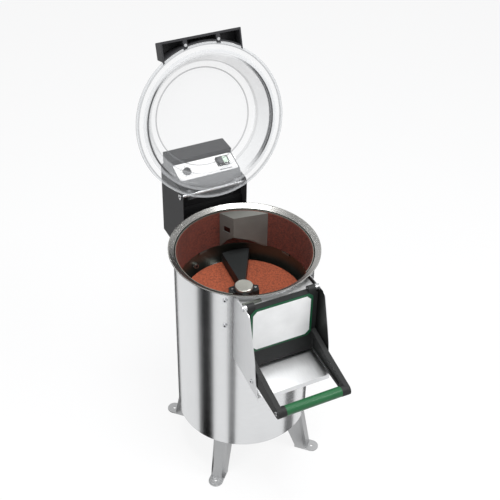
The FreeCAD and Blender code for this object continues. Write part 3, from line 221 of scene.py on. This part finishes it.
def drum_sheet(tone):
    """Drum skin: brushed outside, duller inside and darkened there with painted shade, greyer on the flared
    rim.
    """
    f = satin_sheet("drum_satin_sheet", tone, DRUM_GRAIN, ROUND_GRAIN, 0.11)
    x, y, z = f.split()
    reach = f.reach(x, y)
    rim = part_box("tank_shell")[1].z
    mid_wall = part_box("base_ring")[1].x + RING_TO_OUTSIDE / 2
    below_rim = f.ramp(z, rim - 0.006, rim - 0.008).clamp()
    # Mask for the painted shade: the drum's inside, below the rim
    inside = f.ramp(reach, mid_wall, mid_wall - 0.0004).clamp() * below_rim
    outer_tone, outer_rough = f.given("Base Color"), f.given("Roughness")
    flare = f.ramp(z, rim - 0.0095, rim - 0.0075).clamp()
    skin = f.mix(flare * 0.85, outer_tone, paint(150, 149, 145))
    # Painted shade: the inside is mixed to a darker green grey
    f.set(Base_Color=f.mix(inside, skin, paint(96, 99, 92)))
    f.set(Roughness=outer_rough + inside * 0.22 + flare * 0.06)
    return f


def shaded_plate(tone):
    """Right chute plate, with a painted dark reflection on its inner face, which looks only into the dark
    door.
    """
    f = satin_sheet("right_plate_painted_reflection_sheet", tone, SHEET_GRAIN, UPRIGHT_GRAIN)
    x = f.split()[0]
    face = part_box("chute_tray")[1].x
    # Painted reflection: the inner face is mixed nearly all the way to dark grey
    inner = f.ramp(x, face + 0.0008, face + 0.0002).clamp()
    f.set(Base_Color=f.mix(inner * 0.92, f.given("Base Color"), paint(44, 44, 45)))
    return f


def wedge_sheet():
    """Blasted steel of the wedge, too dull to mirror the red grit."""
    f = Finish("blasted_wedge_sheet")
    fine = f.noise(260.0, 4.0)
    broad = f.noise(16.0, 3.0)
    f.set(Base_Color=f.mix(broad, paint(92, 93, 89), paint(124, 124, 119)))
    f.set(Metallic=0.45, Roughness=0.46 + fine * 0.12)
    f.set(Normal=f.bump(fine, 0.00005, 0.3))
    return f


def bright_metal(name, tone, rough=0.16):
    """Turned or polished metal with faint wear."""
    f = Finish(name)
    wear = f.noise(420.0, 2.0)
    broad = f.noise(60.0, 2.0)
    light = paint(*tone)
    f.set(Base_Color=f.mix(broad, scaled(light, 0.8), light), Metallic=1.0, Roughness=rough + wear * 0.12)
    f.set(Normal=f.bump(wear, 0.00004, 0.3))
    return f


def cast_metal(name, tone, rough=0.45):
    """Cast metal with a pitted skin."""
    f = Finish(name)
    pits = f.noise(900.0, 3.0)
    broad = f.noise(35.0, 3.0)
    light = paint(*tone)
    f.set(Base_Color=f.mix(broad, scaled(light, 0.75), light), Metallic=0.9, Roughness=rough + pits * 0.18)
    f.set(Normal=f.bump(pits, 0.0001, 0.5))
    return f


def moulded(name, tone, rough=0.5, grain=1500.0, depth=0.00006, coat=0.0):
    """Moulded plastic with a fine spark-eroded grain and a faint change of tone."""
    f = Finish(name)
    leather = f.cells(grain)
    broad = f.noise(22.0, 3.0)
    light = paint(*tone)
    f.set(Base_Color=f.mix(broad, scaled(light, 0.78), light), Roughness=rough + broad * 0.08)
    f.set(Coat_Weight=coat, Coat_Roughness=0.15)
    f.set(Specular_IOR_Level=PALE_GLOSS if max(tone) > PALE_FROM else DARK_GLOSS)
    f.set(Normal=f.bump(leather, depth, 0.5))
    return f


def grit_stone(name, deep, bright, scale, depth):
    """Abrasive grains held in coloured resin."""
    f = Finish(name)
    grain = f.cells(scale)
    speck = f.noise(scale * 0.55, 2.0)
    fleck = f.noise(scale * 0.3, 2.0, 0.7)
    patch = f.noise(14.0, 4.0)
    tone = f.mix(f.ramp(speck * 0.5 + fleck * 0.5, 0.42, 0.58), paint(*deep), paint(*bright))
    sooty = scaled(paint(*deep), 0.5)
    glint = f.ramp(f.cells(scale * 1.7), 0.1, 0.0)
    f.set(Base_Color=f.mix(f.ramp(patch, 0.55, 0.75) * 0.3, tone, sooty))
    f.set(Roughness=0.85 - glint * 0.45)
    f.set(Normal=f.bump(grain + speck * 0.6, depth, 0.9))
    return f


def lid_middle():
    """Middle of the open lid's flange, which is the closed one tipped about the hinge rod."""
    closed = Vector((0, 0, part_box("tank_shell")[1].z + FLANGE_LIFT))
    return LID_HINGE + Matrix.Rotation(LID_TIP, 3, "X") @ (closed - LID_HINGE)


def clear_sheet():
    """Clear formed sheet: nearly nothing face on, with painted highlights as pale bands on the flange bead,
    the lip and the dome wall, painted dark reflections as lines where it bends and where it turns edge on,
    and a line of painted shade at the dome's foot on the sides.
    """
    f = Finish("clear_formed_sheet")
    local = f.node("ShaderNodeMapping", {"vector_type": "TEXTURE"}, {
        "Vector": f.place, "Location": tuple(lid_middle()), "Rotation": (LID_TIP, 0, 0)})
    across, along = f.split(local)[:2]
    reach = f.reach(across, along)
    haze = f.noise(7.0, 3.0)

    def band(low, high, soft=0.0012):
        return (f.ramp(reach, low - soft, low).clamp() * f.ramp(reach, high + soft, high).clamp()).clamp()

    sideways = f.node("ShaderNodeMath", {"operation": "ABSOLUTE"}, (across / (reach + 0.001),))
    # Mask for the painted shade, which falls only on the lid's left and right sides
    shade = f.ramp(sideways, 0.45, 0.8).clamp()
    # Painted highlights: pale bands on the flange bead, the lip and the dome wall, shown through the alpha
    bead_highlight = band(FLANGE_EDGE - 0.0045, FLANGE_EDGE + 0.002)
    lip_highlight = band(DOME_FOOT + 0.002, DOME_FOOT + 0.0075)
    wall = band(DOME_SHOULDER, DOME_FOOT)
    # Painted shade: a near-black line at the dome's foot, on the sides only
    side_shade_line = (band(DOME_FOOT - 0.0028, DOME_FOOT) * shade).clamp()
    # Painted dark reflections: thin grey lines at the flat top, the shoulder and inside the flange's edge
    fine = (band(DOME_FLAT - 0.0016, DOME_FLAT) + band(DOME_SHOULDER - 0.0012, DOME_SHOULDER) * 0.6
            + band(FLANGE_EDGE - 0.0062, FLANGE_EDGE - 0.0052)).clamp()
    # Painted dark reflection: greyer and less clear where the sheet turns edge on
    turned = f.node("ShaderNodeLayerWeight", {}, {"Blend": 0.5}, 1)
    rim = f.ramp(turned, 0.6, 0.95).clamp()
    pale = f.mix(haze, (0.40, 0.41, 0.42, 1), (0.52, 0.53, 0.54, 1))
    grey = f.mix((fine + rim * 0.6).clamp(), pale, (0.16, 0.165, 0.17, 1))
    f.set(Base_Color=f.mix(side_shade_line, grey, (0.025, 0.026, 0.027, 1)))
    f.set(Roughness=0.05 + haze * 0.05)
    seen = 0.07 + bead_highlight * 0.34 + lip_highlight * 0.26 + wall * 0.14
    f.set(Alpha=(seen + side_shade_line * 0.75 + fine * 0.34 + rim * 0.3).clamp())
    f.set(IOR=1.45, Coat_Weight=0.4, Coat_Roughness=0.03)
    f.set(Normal=f.bump(haze, 0.0006, 0.15))
    f.material.surface_render_method = "BLENDED"
    return f


# Mesh helpers

def solo(obj, *others):
    """Selects an object, with any others, and makes it the active one."""
    bpy.ops.object.select_all(action="DESELECT")
    for piece in (obj, *others):
        piece.select_set(True)
    bpy.context.view_layer.objects.active = obj


def joined(first, others, name):
    """Joins objects into the first one and names it."""
    solo(first, *others)
    if others:
        bpy.ops.object.join()
    first.name = name
    return first


def settle(obj, finish, body):
    """Applies the object's place to its mesh, gives it a finish and lets it ride on a body."""
    solo(obj)
    bpy.ops.object.transform_apply(location=True, rotation=True, scale=True)
    obj.data.materials.clear()
    obj.data.materials.append(finish.material)
    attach(obj, body)


def panel_plane():
    """The panel's top centre and its axes, read from its own corners."""
    low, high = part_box("control_panel")
    run, rise = high.y - low.y, high.z - low.z
    angle = math.atan2(rise, run)
    across, along = Vector((1, 0, 0)), Vector((0, math.cos(angle), math.sin(angle)))
    out = across.cross(along)
    mesh = NODES["control_panel"].data
    top = max(v.co.dot(out) for v in mesh.vertices)
    middle = Vector((0, (low.y + high.y) / 2, (low.z + high.z) / 2))
    middle += out * (top - middle.dot(out))
    return middle, across, along, out


def on_plane(obj, plane, x, y, lift):
    """Lays an object on a plane, given by its origin and three axes."""
    origin, across, along, out = plane
    turned = Matrix((across, along, out)).transposed().to_4x4()
    obj.matrix_world = Matrix.Translation(origin + across * x + along * y + out * lift) @ turned


def bar(name, length, width, thick):
    """A flat bar with softened edges."""
    bpy.ops.object.select_all(action="DESELECT")
    bpy.ops.mesh.primitive_cube_add(size=1.0)
    made = bpy.context.object
    made.name = name
    made.scale = (length, width, thick)
    bpy.ops.object.transform_apply(scale=True)
    soft = made.modifiers.new("edge", "BEVEL")
    soft.width = min(width, thick, length) * 0.3
    soft.segments = 2
    bpy.ops.object.modifier_apply(modifier="edge")
    return made


# Settings

class PEELER_PG_finish(bpy.types.PropertyGroup):
    sheet_tone: bpy.props.FloatVectorProperty(
        name="Sheet tone", description="Colour of the stainless sheet, 0 to 255", size=3,
        default=(226, 227, 228))
    wall_tone: bpy.props.FloatVectorProperty(
        name="Wall grit tone", description="Colour of the wall's abrasive, 0 to 255", size=3,
        default=(108, 48, 34))
    plate_tone: bpy.props.FloatVectorProperty(
        name="Plate grit tone", description="Colour of the plate's abrasive, 0 to 255", size=3,
        default=(158, 76, 46))
    grip_tone: bpy.props.FloatVectorProperty(
        name="Grip tone", description="Colour of the door's grip, 0 to 255", size=3, default=(26, 88, 50))


class PEELER_PG_stage(bpy.types.PropertyGroup):
    azimuth: bpy.props.FloatProperty(
        name="Azimuth", description="Camera direction round the drum, in degrees", default=-26.44)
    elevation: bpy.props.FloatProperty(
        name="Elevation", description="Camera height above the horizon, in degrees", default=37.95)
    roll: bpy.props.FloatProperty(name="Roll", description="Camera roll, in degrees", default=1.2)
    lens: bpy.props.FloatProperty(
        name="Lens", description="Focal length on a 36 mm film, in mm", default=71.52)
    stand: bpy.props.FloatVectorProperty(
        name="Stand", description="Camera position", size=3, subtype="TRANSLATION", unit="LENGTH",
        default=(-0.7975, -1.6322, 2.0203))


# Operators

class PEELER_OT_sheet_metal(bpy.types.Operator):
    """Finishes the drum, legs, chute and every other stainless sheet"""
    bl_idname = "peeler.sheet_metal"
    bl_label = "Sheet metal"

    def execute(self, context):
        tone = tuple(context.scene.peeler_finish.sheet_tone)
        dress(drum_sheet(tone), "tank_shell")
        sleeve = satin_sheet("sleeve_sheet", (120, 122, 116), SHEET_GRAIN, ROUND_GRAIN, 0.45)
        dress(sleeve, "liner_sleeve", "liner_rests")
        dress(wedge_sheet(), "deflector_wedge")
        flat = satin_sheet("flat_satin_sheet", tone, SHEET_GRAIN, FLAT_GRAIN)
        dress(flat, "base_ring", "chute_tray", "chamber_floor")
        upright = satin_sheet("upright_satin_sheet", tone, SHEET_GRAIN, UPRIGHT_GRAIN)
        legs = satin_sheet("leg_sheet", scaled(tone, 0.8), SHEET_GRAIN, UPRIGHT_GRAIN, 0.36)
        dress(legs, "leg_front_left", "leg_front_right", "leg_rear_left", "leg_rear_right")
        dress(upright, "chute_plate_left", "door_skin", "drain_spigot")
        dress(shaded_plate(tone), "chute_plate_right")
        return {"FINISHED"}


class PEELER_OT_machinery(bpy.types.Operator):
    """Finishes the castings, shafts, bearings, belt and fasteners"""
    bl_idname = "peeler.machinery"
    bl_label = "Machinery"

    def execute(self, context):
        cast = cast_metal("plain_casting", (176, 178, 180))
        dress(cast, "drive_deck", "bearing_housing", "plate_disc", "driven_pulley", "drive_pulley")
        dress(cast_metal("motor_casting", (120, 126, 132), 0.5), "motor_housing")
        bright = bright_metal("turned_steel", (205, 206, 208))
        dress(bright, "spindle", "motor_shaft", "spindle_bearings", "pulley_nut", "hinge_rod", "door_pins")
        dress(bright, "leg_screws", "chute_screws", "hinge_screws", "handle_screws", "grip_screws")
        dress(bright, "vane_screws")
        dress(bright_metal("inlet_steel", (150, 152, 152), 0.3), "water_inlet")
        rubber = moulded("black_rubber", (34, 34, 35), 0.75, 700.0, 0.0001)
        dress(rubber, "shaft_seal", "drive_belt", "cable_gland")
        return {"FINISHED"}


class PEELER_OT_chamber(bpy.types.Operator):
    """Finishes the abrasive wall and plate, the vane bar and its cap"""
    bl_idname = "peeler.chamber"
    bl_label = "Peeling chamber"

    def execute(self, context):
        look = context.scene.peeler_finish
        wall, plate = tuple(look.wall_tone), tuple(look.plate_tone)
        dress(grit_stone("wall_grit", scaled(wall, 0.66), wall, 640.0, 0.0006), "wall_abrasive")
        dress(grit_stone("plate_grit", scaled(plate, 0.74), plate, 620.0, 0.0007), "plate_abrasive")
        dress(moulded("black_vane_moulding", (36, 38, 38), 0.45, 900.0, 0.0001), "vane_bar")
        dress(bright_metal("satin_cap", (212, 212, 204), 0.3), "hub_cap")
        return {"FINISHED"}


class PEELER_OT_door(bpy.types.Operator):
    """Finishes the discharge door, its label, arms and grip"""
    bl_idname = "peeler.door"
    bl_label = "Door"

    def execute(self, context):
        charcoal = moulded("charcoal_moulding", (34, 35, 35), 0.5)
        dress(charcoal, "door_frame", "door_arm_left", "door_arm_right", "grip_sockets")
        grip = tuple(context.scene.peeler_finish.grip_tone)
        dress(moulded("green_grip_tube", grip, 0.33, 1200.0, 0.00003, 0.3), "grip_tube")
        dress(moulded("green_print", (22, 84, 54), 0.35, *FILM_GRAIN, 0.2), "label_border")
        film = moulded("off_white_film", (247, 247, 246), 0.35, *FILM_GRAIN, 0.2)
        dress(film, "label_face", "control_panel")
        dress(bright_metal("magnet_plate", (120, 124, 118), 0.4), "door_magnet")
        return {"FINISHED"}


class PEELER_OT_tower(bpy.types.Operator):
    """Finishes the rear tower, the control head and its controls"""
    bl_idname = "peeler.tower"
    bl_label = "Tower and controls"

    def execute(self, context):
        coat = moulded("grey_textured_coat", (46, 46, 47), 0.5, *COAT_GRAIN)
        dress(coat, "tower_housing", "control_head")
        # Painted shade: the recessed tower front is near black for the shade in its recess, while the switch
        # bezel is black of its own
        dress(moulded("black_coat_and_painted_shade", (16, 16, 17), 0.55, *COAT_GRAIN), "tower_front", "switch_bezel")
        dress(moulded("black_knob", (34, 34, 35), 0.4), "timer_knob")
        dress(moulded("pale_green_key", (202, 222, 205), 0.3, *KEY_GRAIN, 0.3), "start_key")
        dress(moulded("dark_grey_key", (78, 78, 80), 0.35, *KEY_GRAIN, 0.3), "stop_key")
        return {"FINISHED"}


class PEELER_OT_lid(bpy.types.Operator):
    """Finishes the clear lid and its hood-shaped handle"""
    bl_idname = "peeler.lid"
    bl_label = "Lid"

    def execute(self, context):
        dress(clear_sheet(), "lid_bowl")
        dress(moulded("black_hood", (44, 44, 46), 0.45), "lid_handle")
        return {"FINISHED"}


class PEELER_OT_panel_print(bpy.types.Operator):
    """Adds the dial's printed tick marks and a dark dash on the control panel"""
    bl_idname = "peeler.panel_print"
    bl_label = "Panel print"

    ticks: bpy.props.IntProperty(name="Ticks", description="Marks round the dial", default=11)

    # Thickness of the marks, the first mark's direction and the turn to the last one, in degrees
    FILM = 0.0003
    FIRST = -60
    SWEEP = 300
    # Gap from the knob to the middle of a mark, the marks' lengths and width, and the long ones' spacing
    TICK_GAP = 0.0045
    TICK_SHORT = 0.0032
    TICK_LONG = 0.005
    TICK_WIDE = 0.0009
    LONG_EVERY = 5
    # The dash's length, width and height over the panel's lower edge
    DASH_LONG = 0.031
    DASH_WIDE = 0.0026
    DASH_UP = 0.0058

    def execute(self, context):
        dark_marks = moulded("dark_panel_marks", (58, 60, 62), 0.5, *FILM_GRAIN)
        plane = panel_plane()
        middle, along = plane[0], plane[2]
        low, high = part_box("timer_knob")
        dial = (low + high) / 2
        x, y = dial.x, (dial - middle).dot(along)
        radius = (high.x - low.x) / 2 + self.TICK_GAP
        marks = []
        for i in range(self.ticks):
            angle = math.radians(self.FIRST + self.SWEEP * i / (self.ticks - 1))
            length = self.TICK_SHORT if i % self.LONG_EVERY else self.TICK_LONG
            tick = bar("dial_tick", length, self.TICK_WIDE, self.FILM)
            tick.rotation_euler = (0, 0, angle)
            bpy.ops.object.transform_apply(rotation=True)
            on_plane(tick, plane, x + radius * math.cos(angle), y + radius * math.sin(angle), self.FILM / 2)
            marks.append(tick)
        dash = bar("panel_dash", self.DASH_LONG, self.DASH_WIDE, self.FILM)
        edge = (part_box("control_panel")[0] - middle).dot(along)
        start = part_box("switch_bezel")[0].x
        on_plane(dash, plane, start + self.DASH_LONG / 2, edge + self.DASH_UP, self.FILM / 2)
        settle(joined(dash, marks, "panel_print"), dark_marks, "frame")
        return {"FINISHED"}


class PEELER_OT_sockets(bpy.types.Operator):
    """Sinks a hexagon key socket, dark with painted shade, into each button-head screw"""
    bl_idname = "peeler.sockets"
    bl_label = "Screw sockets"

    across: bpy.props.FloatProperty(
        name="Across", description="Socket's width over corners", default=0.0046, unit="LENGTH")

    # Chute screws behind this place point outwards from the drum's axis, and those before it sideways
    DRUM_SCREWS_FROM = -0.17
    # The socket piece's height, how far its middle stands off the head, and its rim as a share of its width
    HEIGHT = 0.0006
    STAND_OFF = 0.0001
    RIM = 0.12

    def execute(self, context):
        # The sockets' dark colour is painted shade in the hollow
        dark = moulded("socket_shadow", (24, 24, 25), 0.7, *FILM_GRAIN)
        for node, body in (("chute_screws", "frame"), ("hinge_screws", "frame"), ("grip_screws", "door")):
            first, *others = [self.socket(centre, out) for centre, out in self.heads(node)]
            settle(joined(first, others, node + "_sockets"), dark, body)
        return {"FINISHED"}

    def heads(self, node):
        """The middle and direction of each head's flat outer face, read from the node's loose parts."""
        mesh = bmesh.new()
        mesh.from_mesh(NODES[node].data)
        bmesh.ops.remove_doubles(mesh, verts=mesh.verts, dist=1e-6)
        left = set(mesh.verts)
        found = []
        while left:
            part, front = set(), [left.pop()]
            while front:
                v = front.pop()
                part.add(v)
                for e in v.link_edges:
                    other = e.other_vert(v)
                    if other in left:
                        left.discard(other)
                        front.append(other)
            middle = sum((v.co for v in part), Vector()) / len(part)
            out = Vector((math.copysign(1, middle.x), 0, 0))
            if node == "chute_screws" and middle.y > self.DRUM_SCREWS_FROM:
                out = Vector((middle.x, middle.y, 0)).normalized()
            tip = max(v.co.dot(out) for v in part)
            found.append((middle + out * (tip - middle.dot(out)), out))
        mesh.free()
        return found

    def socket(self, centre, out):
        """A hexagon with a sunk middle, laid on a screw's head."""
        bpy.ops.object.select_all(action="DESELECT")
        bpy.ops.mesh.primitive_cylinder_add(vertices=6, radius=self.across / 2, depth=self.HEIGHT)
        made = bpy.context.object
        bpy.ops.object.mode_set(mode="EDIT")
        bpy.ops.mesh.select_all(action="DESELECT")
        bpy.ops.object.mode_set(mode="OBJECT")
        for face in made.data.polygons:
            face.select = face.normal.z > 0.9
        bpy.ops.object.mode_set(mode="EDIT")
        bpy.ops.mesh.inset(thickness=self.across * self.RIM, depth=-self.HEIGHT / 2)
        bpy.ops.object.mode_set(mode="OBJECT")
        turn = out.to_track_quat("Z", "Y").to_matrix().to_4x4()
        made.matrix_world = Matrix.Translation(centre + out * self.STAND_OFF) @ turn
        return made


class PEELER_OT_stage(bpy.types.Operator):
    """Sets up the floor, the lights, the background and the camera"""
    bl_idname = "peeler.stage"
    bl_label = "Stage"

    # Floor strips seen only in reflections: start and end as shares of the drum's half width, and tone
    STRIPS = (
        ("edge_strip", -0.99, -0.95, 0.06),
        ("dark_strip", -0.6, -0.46, 0.0),
        ("soft_strip_left", -0.65, -0.6, 0.12),
        ("soft_strip_right", -0.46, -0.43, 0.16),
        ("grey_strip", -0.2, -0.1, 0.14),
        ("side_strip", 0.66, 0.8, 0.12),
        ("far_strip", 0.94, 0.99, 0.05),
    )
    # How far each strip runs out from the drum, and its height over the ground
    STRIP_REACH = 1.9
    STRIP_LIFT = 0.0006
    # Width of the floor, its drop under the feet, and its own glow for the camera and in reflections
    FLOOR_WIDE = 14.0
    FLOOR_DROP = 0.001
    GLOW_SEEN = 0.86
    GLOW_MIRRORED = 0.8
    # Strength of the studio's light, and of the white that the camera and reflections see instead
    STUDIO_LIGHT = 0.42
    WHITE_LIGHT = 1.0
    # Each lamp's name, place, the height on the axis that it looks at, its width, power and height
    LAMPS = (
        ("key", (1.7, -1.7, 2.5), 0.45, 1.2, 38, 1.2),
        ("fill", (-2.3, -1.2, 1.3), 0.4, 1.4, 22, 1.9),
        ("top", (0.0, -0.35, 2.6), 0.5, 1.1, 52, 1.1),
    )

    def execute(self, context):
        shot = context.scene.peeler_stage
        self.floor()
        self.world()
        for lamp in self.LAMPS:
            self.lamp(*lamp)
        for strip in self.STRIPS:
            self.strip(Vector(shot.stand), *strip)
        self.camera(shot)
        context.scene.view_settings.view_transform = "Standard"
        return {"FINISHED"}

    def strip(self, stand, name, start, end, tone):
        """A strip of floor that the upright drum shows between two shares of its half width."""
        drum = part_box("base_ring")[1].x + RING_TO_OUTSIDE
        view = Vector((stand.x, stand.y, 0)).normalized()
        right = Vector((-view.y, view.x, 0))
        corners = []
        for share in (start, end):
            out = view * math.sqrt(1 - share * share) + right * share
            mirrored = out * (2 * out.dot(view)) - view
            corners.append((out * drum, out * drum + mirrored * self.STRIP_REACH))
        bpy.ops.object.select_all(action="DESELECT")
        bpy.ops.mesh.primitive_plane_add(size=1.0)
        strip = bpy.context.object
        strip.name = name
        for v in strip.data.vertices:
            spot = corners[0 if v.co.y < 0 else 1][0 if v.co.x < 0 else 1]
            v.co = (spot.x, spot.y, self.STRIP_LIFT)
        f = Finish(name + "_finish")
        matt = (tone, tone, tone, 1)
        f.set(Base_Color=f.mix(f.noise(3.0, 1.0), matt, scaled(matt, 1.2)))
        f.set(Roughness=0.9, Specular_IOR_Level=0.0)
        strip.data.materials.append(f.material)
        strip.visible_camera = False
        strip.visible_diffuse = False
        strip.visible_shadow = False
        strip.visible_transmission = False

    def floor(self):
        """A pale floor that glows for the camera and in reflections, to run into the white background."""
        bpy.ops.object.select_all(action="DESELECT")
        bpy.ops.mesh.primitive_plane_add(size=self.FLOOR_WIDE, location=(0, 0, -self.FLOOR_DROP))
        plane = bpy.context.object
        plane.name = "floor"
        f = Finish("pale_floor")
        mottle = f.noise(2.0, 2.0)
        f.set(Base_Color=f.mix(mottle, paint(236, 236, 237), paint(240, 240, 240)))
        f.set(Roughness=0.6, Specular_IOR_Level=0.0)
        glow = f.nodes.new("ShaderNodeEmission")
        glow.inputs["Color"].default_value = (1, 1, 1, 1)
        rays = f.nodes.new("ShaderNodeLightPath")
        seen = Wire(f, rays.outputs["Is Camera Ray"])
        mirrored = Wire(f, rays.outputs["Is Glossy Ray"])
        through = Wire(f, rays.outputs["Is Transmission Ray"])
        mix = f.nodes.new("ShaderNodeMixShader")
        share = seen * self.GLOW_SEEN + mirrored * self.GLOW_MIRRORED + through * self.GLOW_SEEN
        f.feed(mix.inputs[0], share.clamp())
        f.links.new(f.shader.outputs[0], mix.inputs[1])
        f.links.new(glow.outputs[0], mix.inputs[2])
        f.links.new(mix.outputs[0], f.nodes["Material Output"].inputs["Surface"])
        plane.data.materials.append(f.material)

    def world(self):
        """A cool studio light, hidden from the camera and from reflections behind plain white."""
        world = bpy.data.worlds.new("studio")
        bpy.context.scene.world = world
        world.use_nodes = True
        nodes, links = world.node_tree.nodes, world.node_tree.links
        back = nodes["Background"]
        back.inputs["Color"].default_value = (0.93, 0.95, 1.0, 1.0)
        back.inputs["Strength"].default_value = self.STUDIO_LIGHT
        white = nodes.new("ShaderNodeBackground")
        white.inputs["Color"].default_value = (1, 1, 1, 1)
        white.inputs["Strength"].default_value = self.WHITE_LIGHT
        rays = nodes.new("ShaderNodeLightPath")
        shown, either = nodes.new("ShaderNodeMath"), nodes.new("ShaderNodeMath")
        shown.operation = either.operation = "MAXIMUM"
        mix = nodes.new("ShaderNodeMixShader")
        links.new(rays.outputs["Is Camera Ray"], shown.inputs[0])
        links.new(rays.outputs["Is Glossy Ray"], shown.inputs[1])
        links.new(shown.outputs[0], either.inputs[0])
        links.new(rays.outputs["Is Transmission Ray"], either.inputs[1])
        links.new(either.outputs[0], mix.inputs[0])
        links.new(back.outputs[0], mix.inputs[1])
        links.new(white.outputs[0], mix.inputs[2])
        links.new(mix.outputs[0], nodes["World Output"].inputs["Surface"])

    def lamp(self, name, where, target, wide, power, tall):
        """A soft box that looks at a height on the drum's axis."""
        bpy.ops.object.select_all(action="DESELECT")
        bpy.ops.object.light_add(type="AREA", location=where)
        lamp = bpy.context.object
        lamp.name = name
        lamp.data.shape = "RECTANGLE"
        lamp.data.size = wide
        lamp.data.size_y = tall
        lamp.data.energy = power
        aim = Vector((0, 0, target)) - Vector(where)
        lamp.rotation_euler = aim.to_track_quat("-Z", "Y").to_euler()

    def camera(self, shot):
        """The shot from the settings: a direction, a roll, a lens and a place to stand."""
        a, e, r = (math.radians(v) for v in (shot.azimuth, shot.elevation, shot.roll))
        back = Vector((math.sin(a) * math.cos(e), -math.cos(a) * math.cos(e), math.sin(e)))
        right = Vector((math.cos(a), math.sin(a), 0))
        up = back.cross(right)
        level_right = right * math.cos(r) + up * math.sin(r)
        level_up = up * math.cos(r) - right * math.sin(r)
        data = bpy.data.cameras.new("shot")
        data.sensor_width = 36.0
        data.lens = shot.lens
        data.clip_end = 60.0
        cam = bpy.data.objects.new("shot", data)
        turned = Matrix((level_right, level_up, back)).transposed().to_4x4()
        cam.matrix_world = Matrix.Translation(Vector(shot.stand)) @ turned
        bpy.context.scene.collection.objects.link(cam)
        bpy.context.scene.camera = cam


# Order of the steps, the panel and registration

STEPS = (
    PEELER_OT_stage,
    PEELER_OT_sheet_metal,
    PEELER_OT_machinery,
    PEELER_OT_chamber,
    PEELER_OT_door,
    PEELER_OT_tower,
    PEELER_OT_lid,
    PEELER_OT_panel_print,
    PEELER_OT_sockets,
)


class PEELER_PT_sidebar(bpy.types.Panel):
    """Lists the peeler's steps and settings"""
    bl_label = "Peeler"
    bl_idname = "PEELER_PT_sidebar"
    bl_space_type = "VIEW_3D"
    bl_region_type = "UI"
    bl_category = "Peeler"

    def draw(self, context):
        for step in STEPS:
            self.layout.operator(step.bl_idname)
        for name in ("sheet_tone", "wall_tone", "plate_tone", "grip_tone"):
            self.layout.prop(context.scene.peeler_finish, name)
        for name in ("azimuth", "elevation", "roll", "lens", "stand"):
            self.layout.prop(context.scene.peeler_stage, name)


CLASSES = (PEELER_PG_finish, PEELER_PG_stage) + STEPS + (PEELER_PT_sidebar,)


def register():
    for cls in CLASSES:
        bpy.utils.register_class(cls)
    bpy.types.Scene.peeler_finish = bpy.props.PointerProperty(type=PEELER_PG_finish)
    bpy.types.Scene.peeler_stage = bpy.props.PointerProperty(type=PEELER_PG_stage)


def unregister():
    del bpy.types.Scene.peeler_stage
    del bpy.types.Scene.peeler_finish
    for cls in reversed(CLASSES):
        bpy.utils.unregister_class(cls)


def main():
    register()
    for step in STEPS:
        group, name = step.bl_idname.split(".")
        getattr(getattr(bpy.ops, group), name)()


if __name__ == "__main__":
    main()
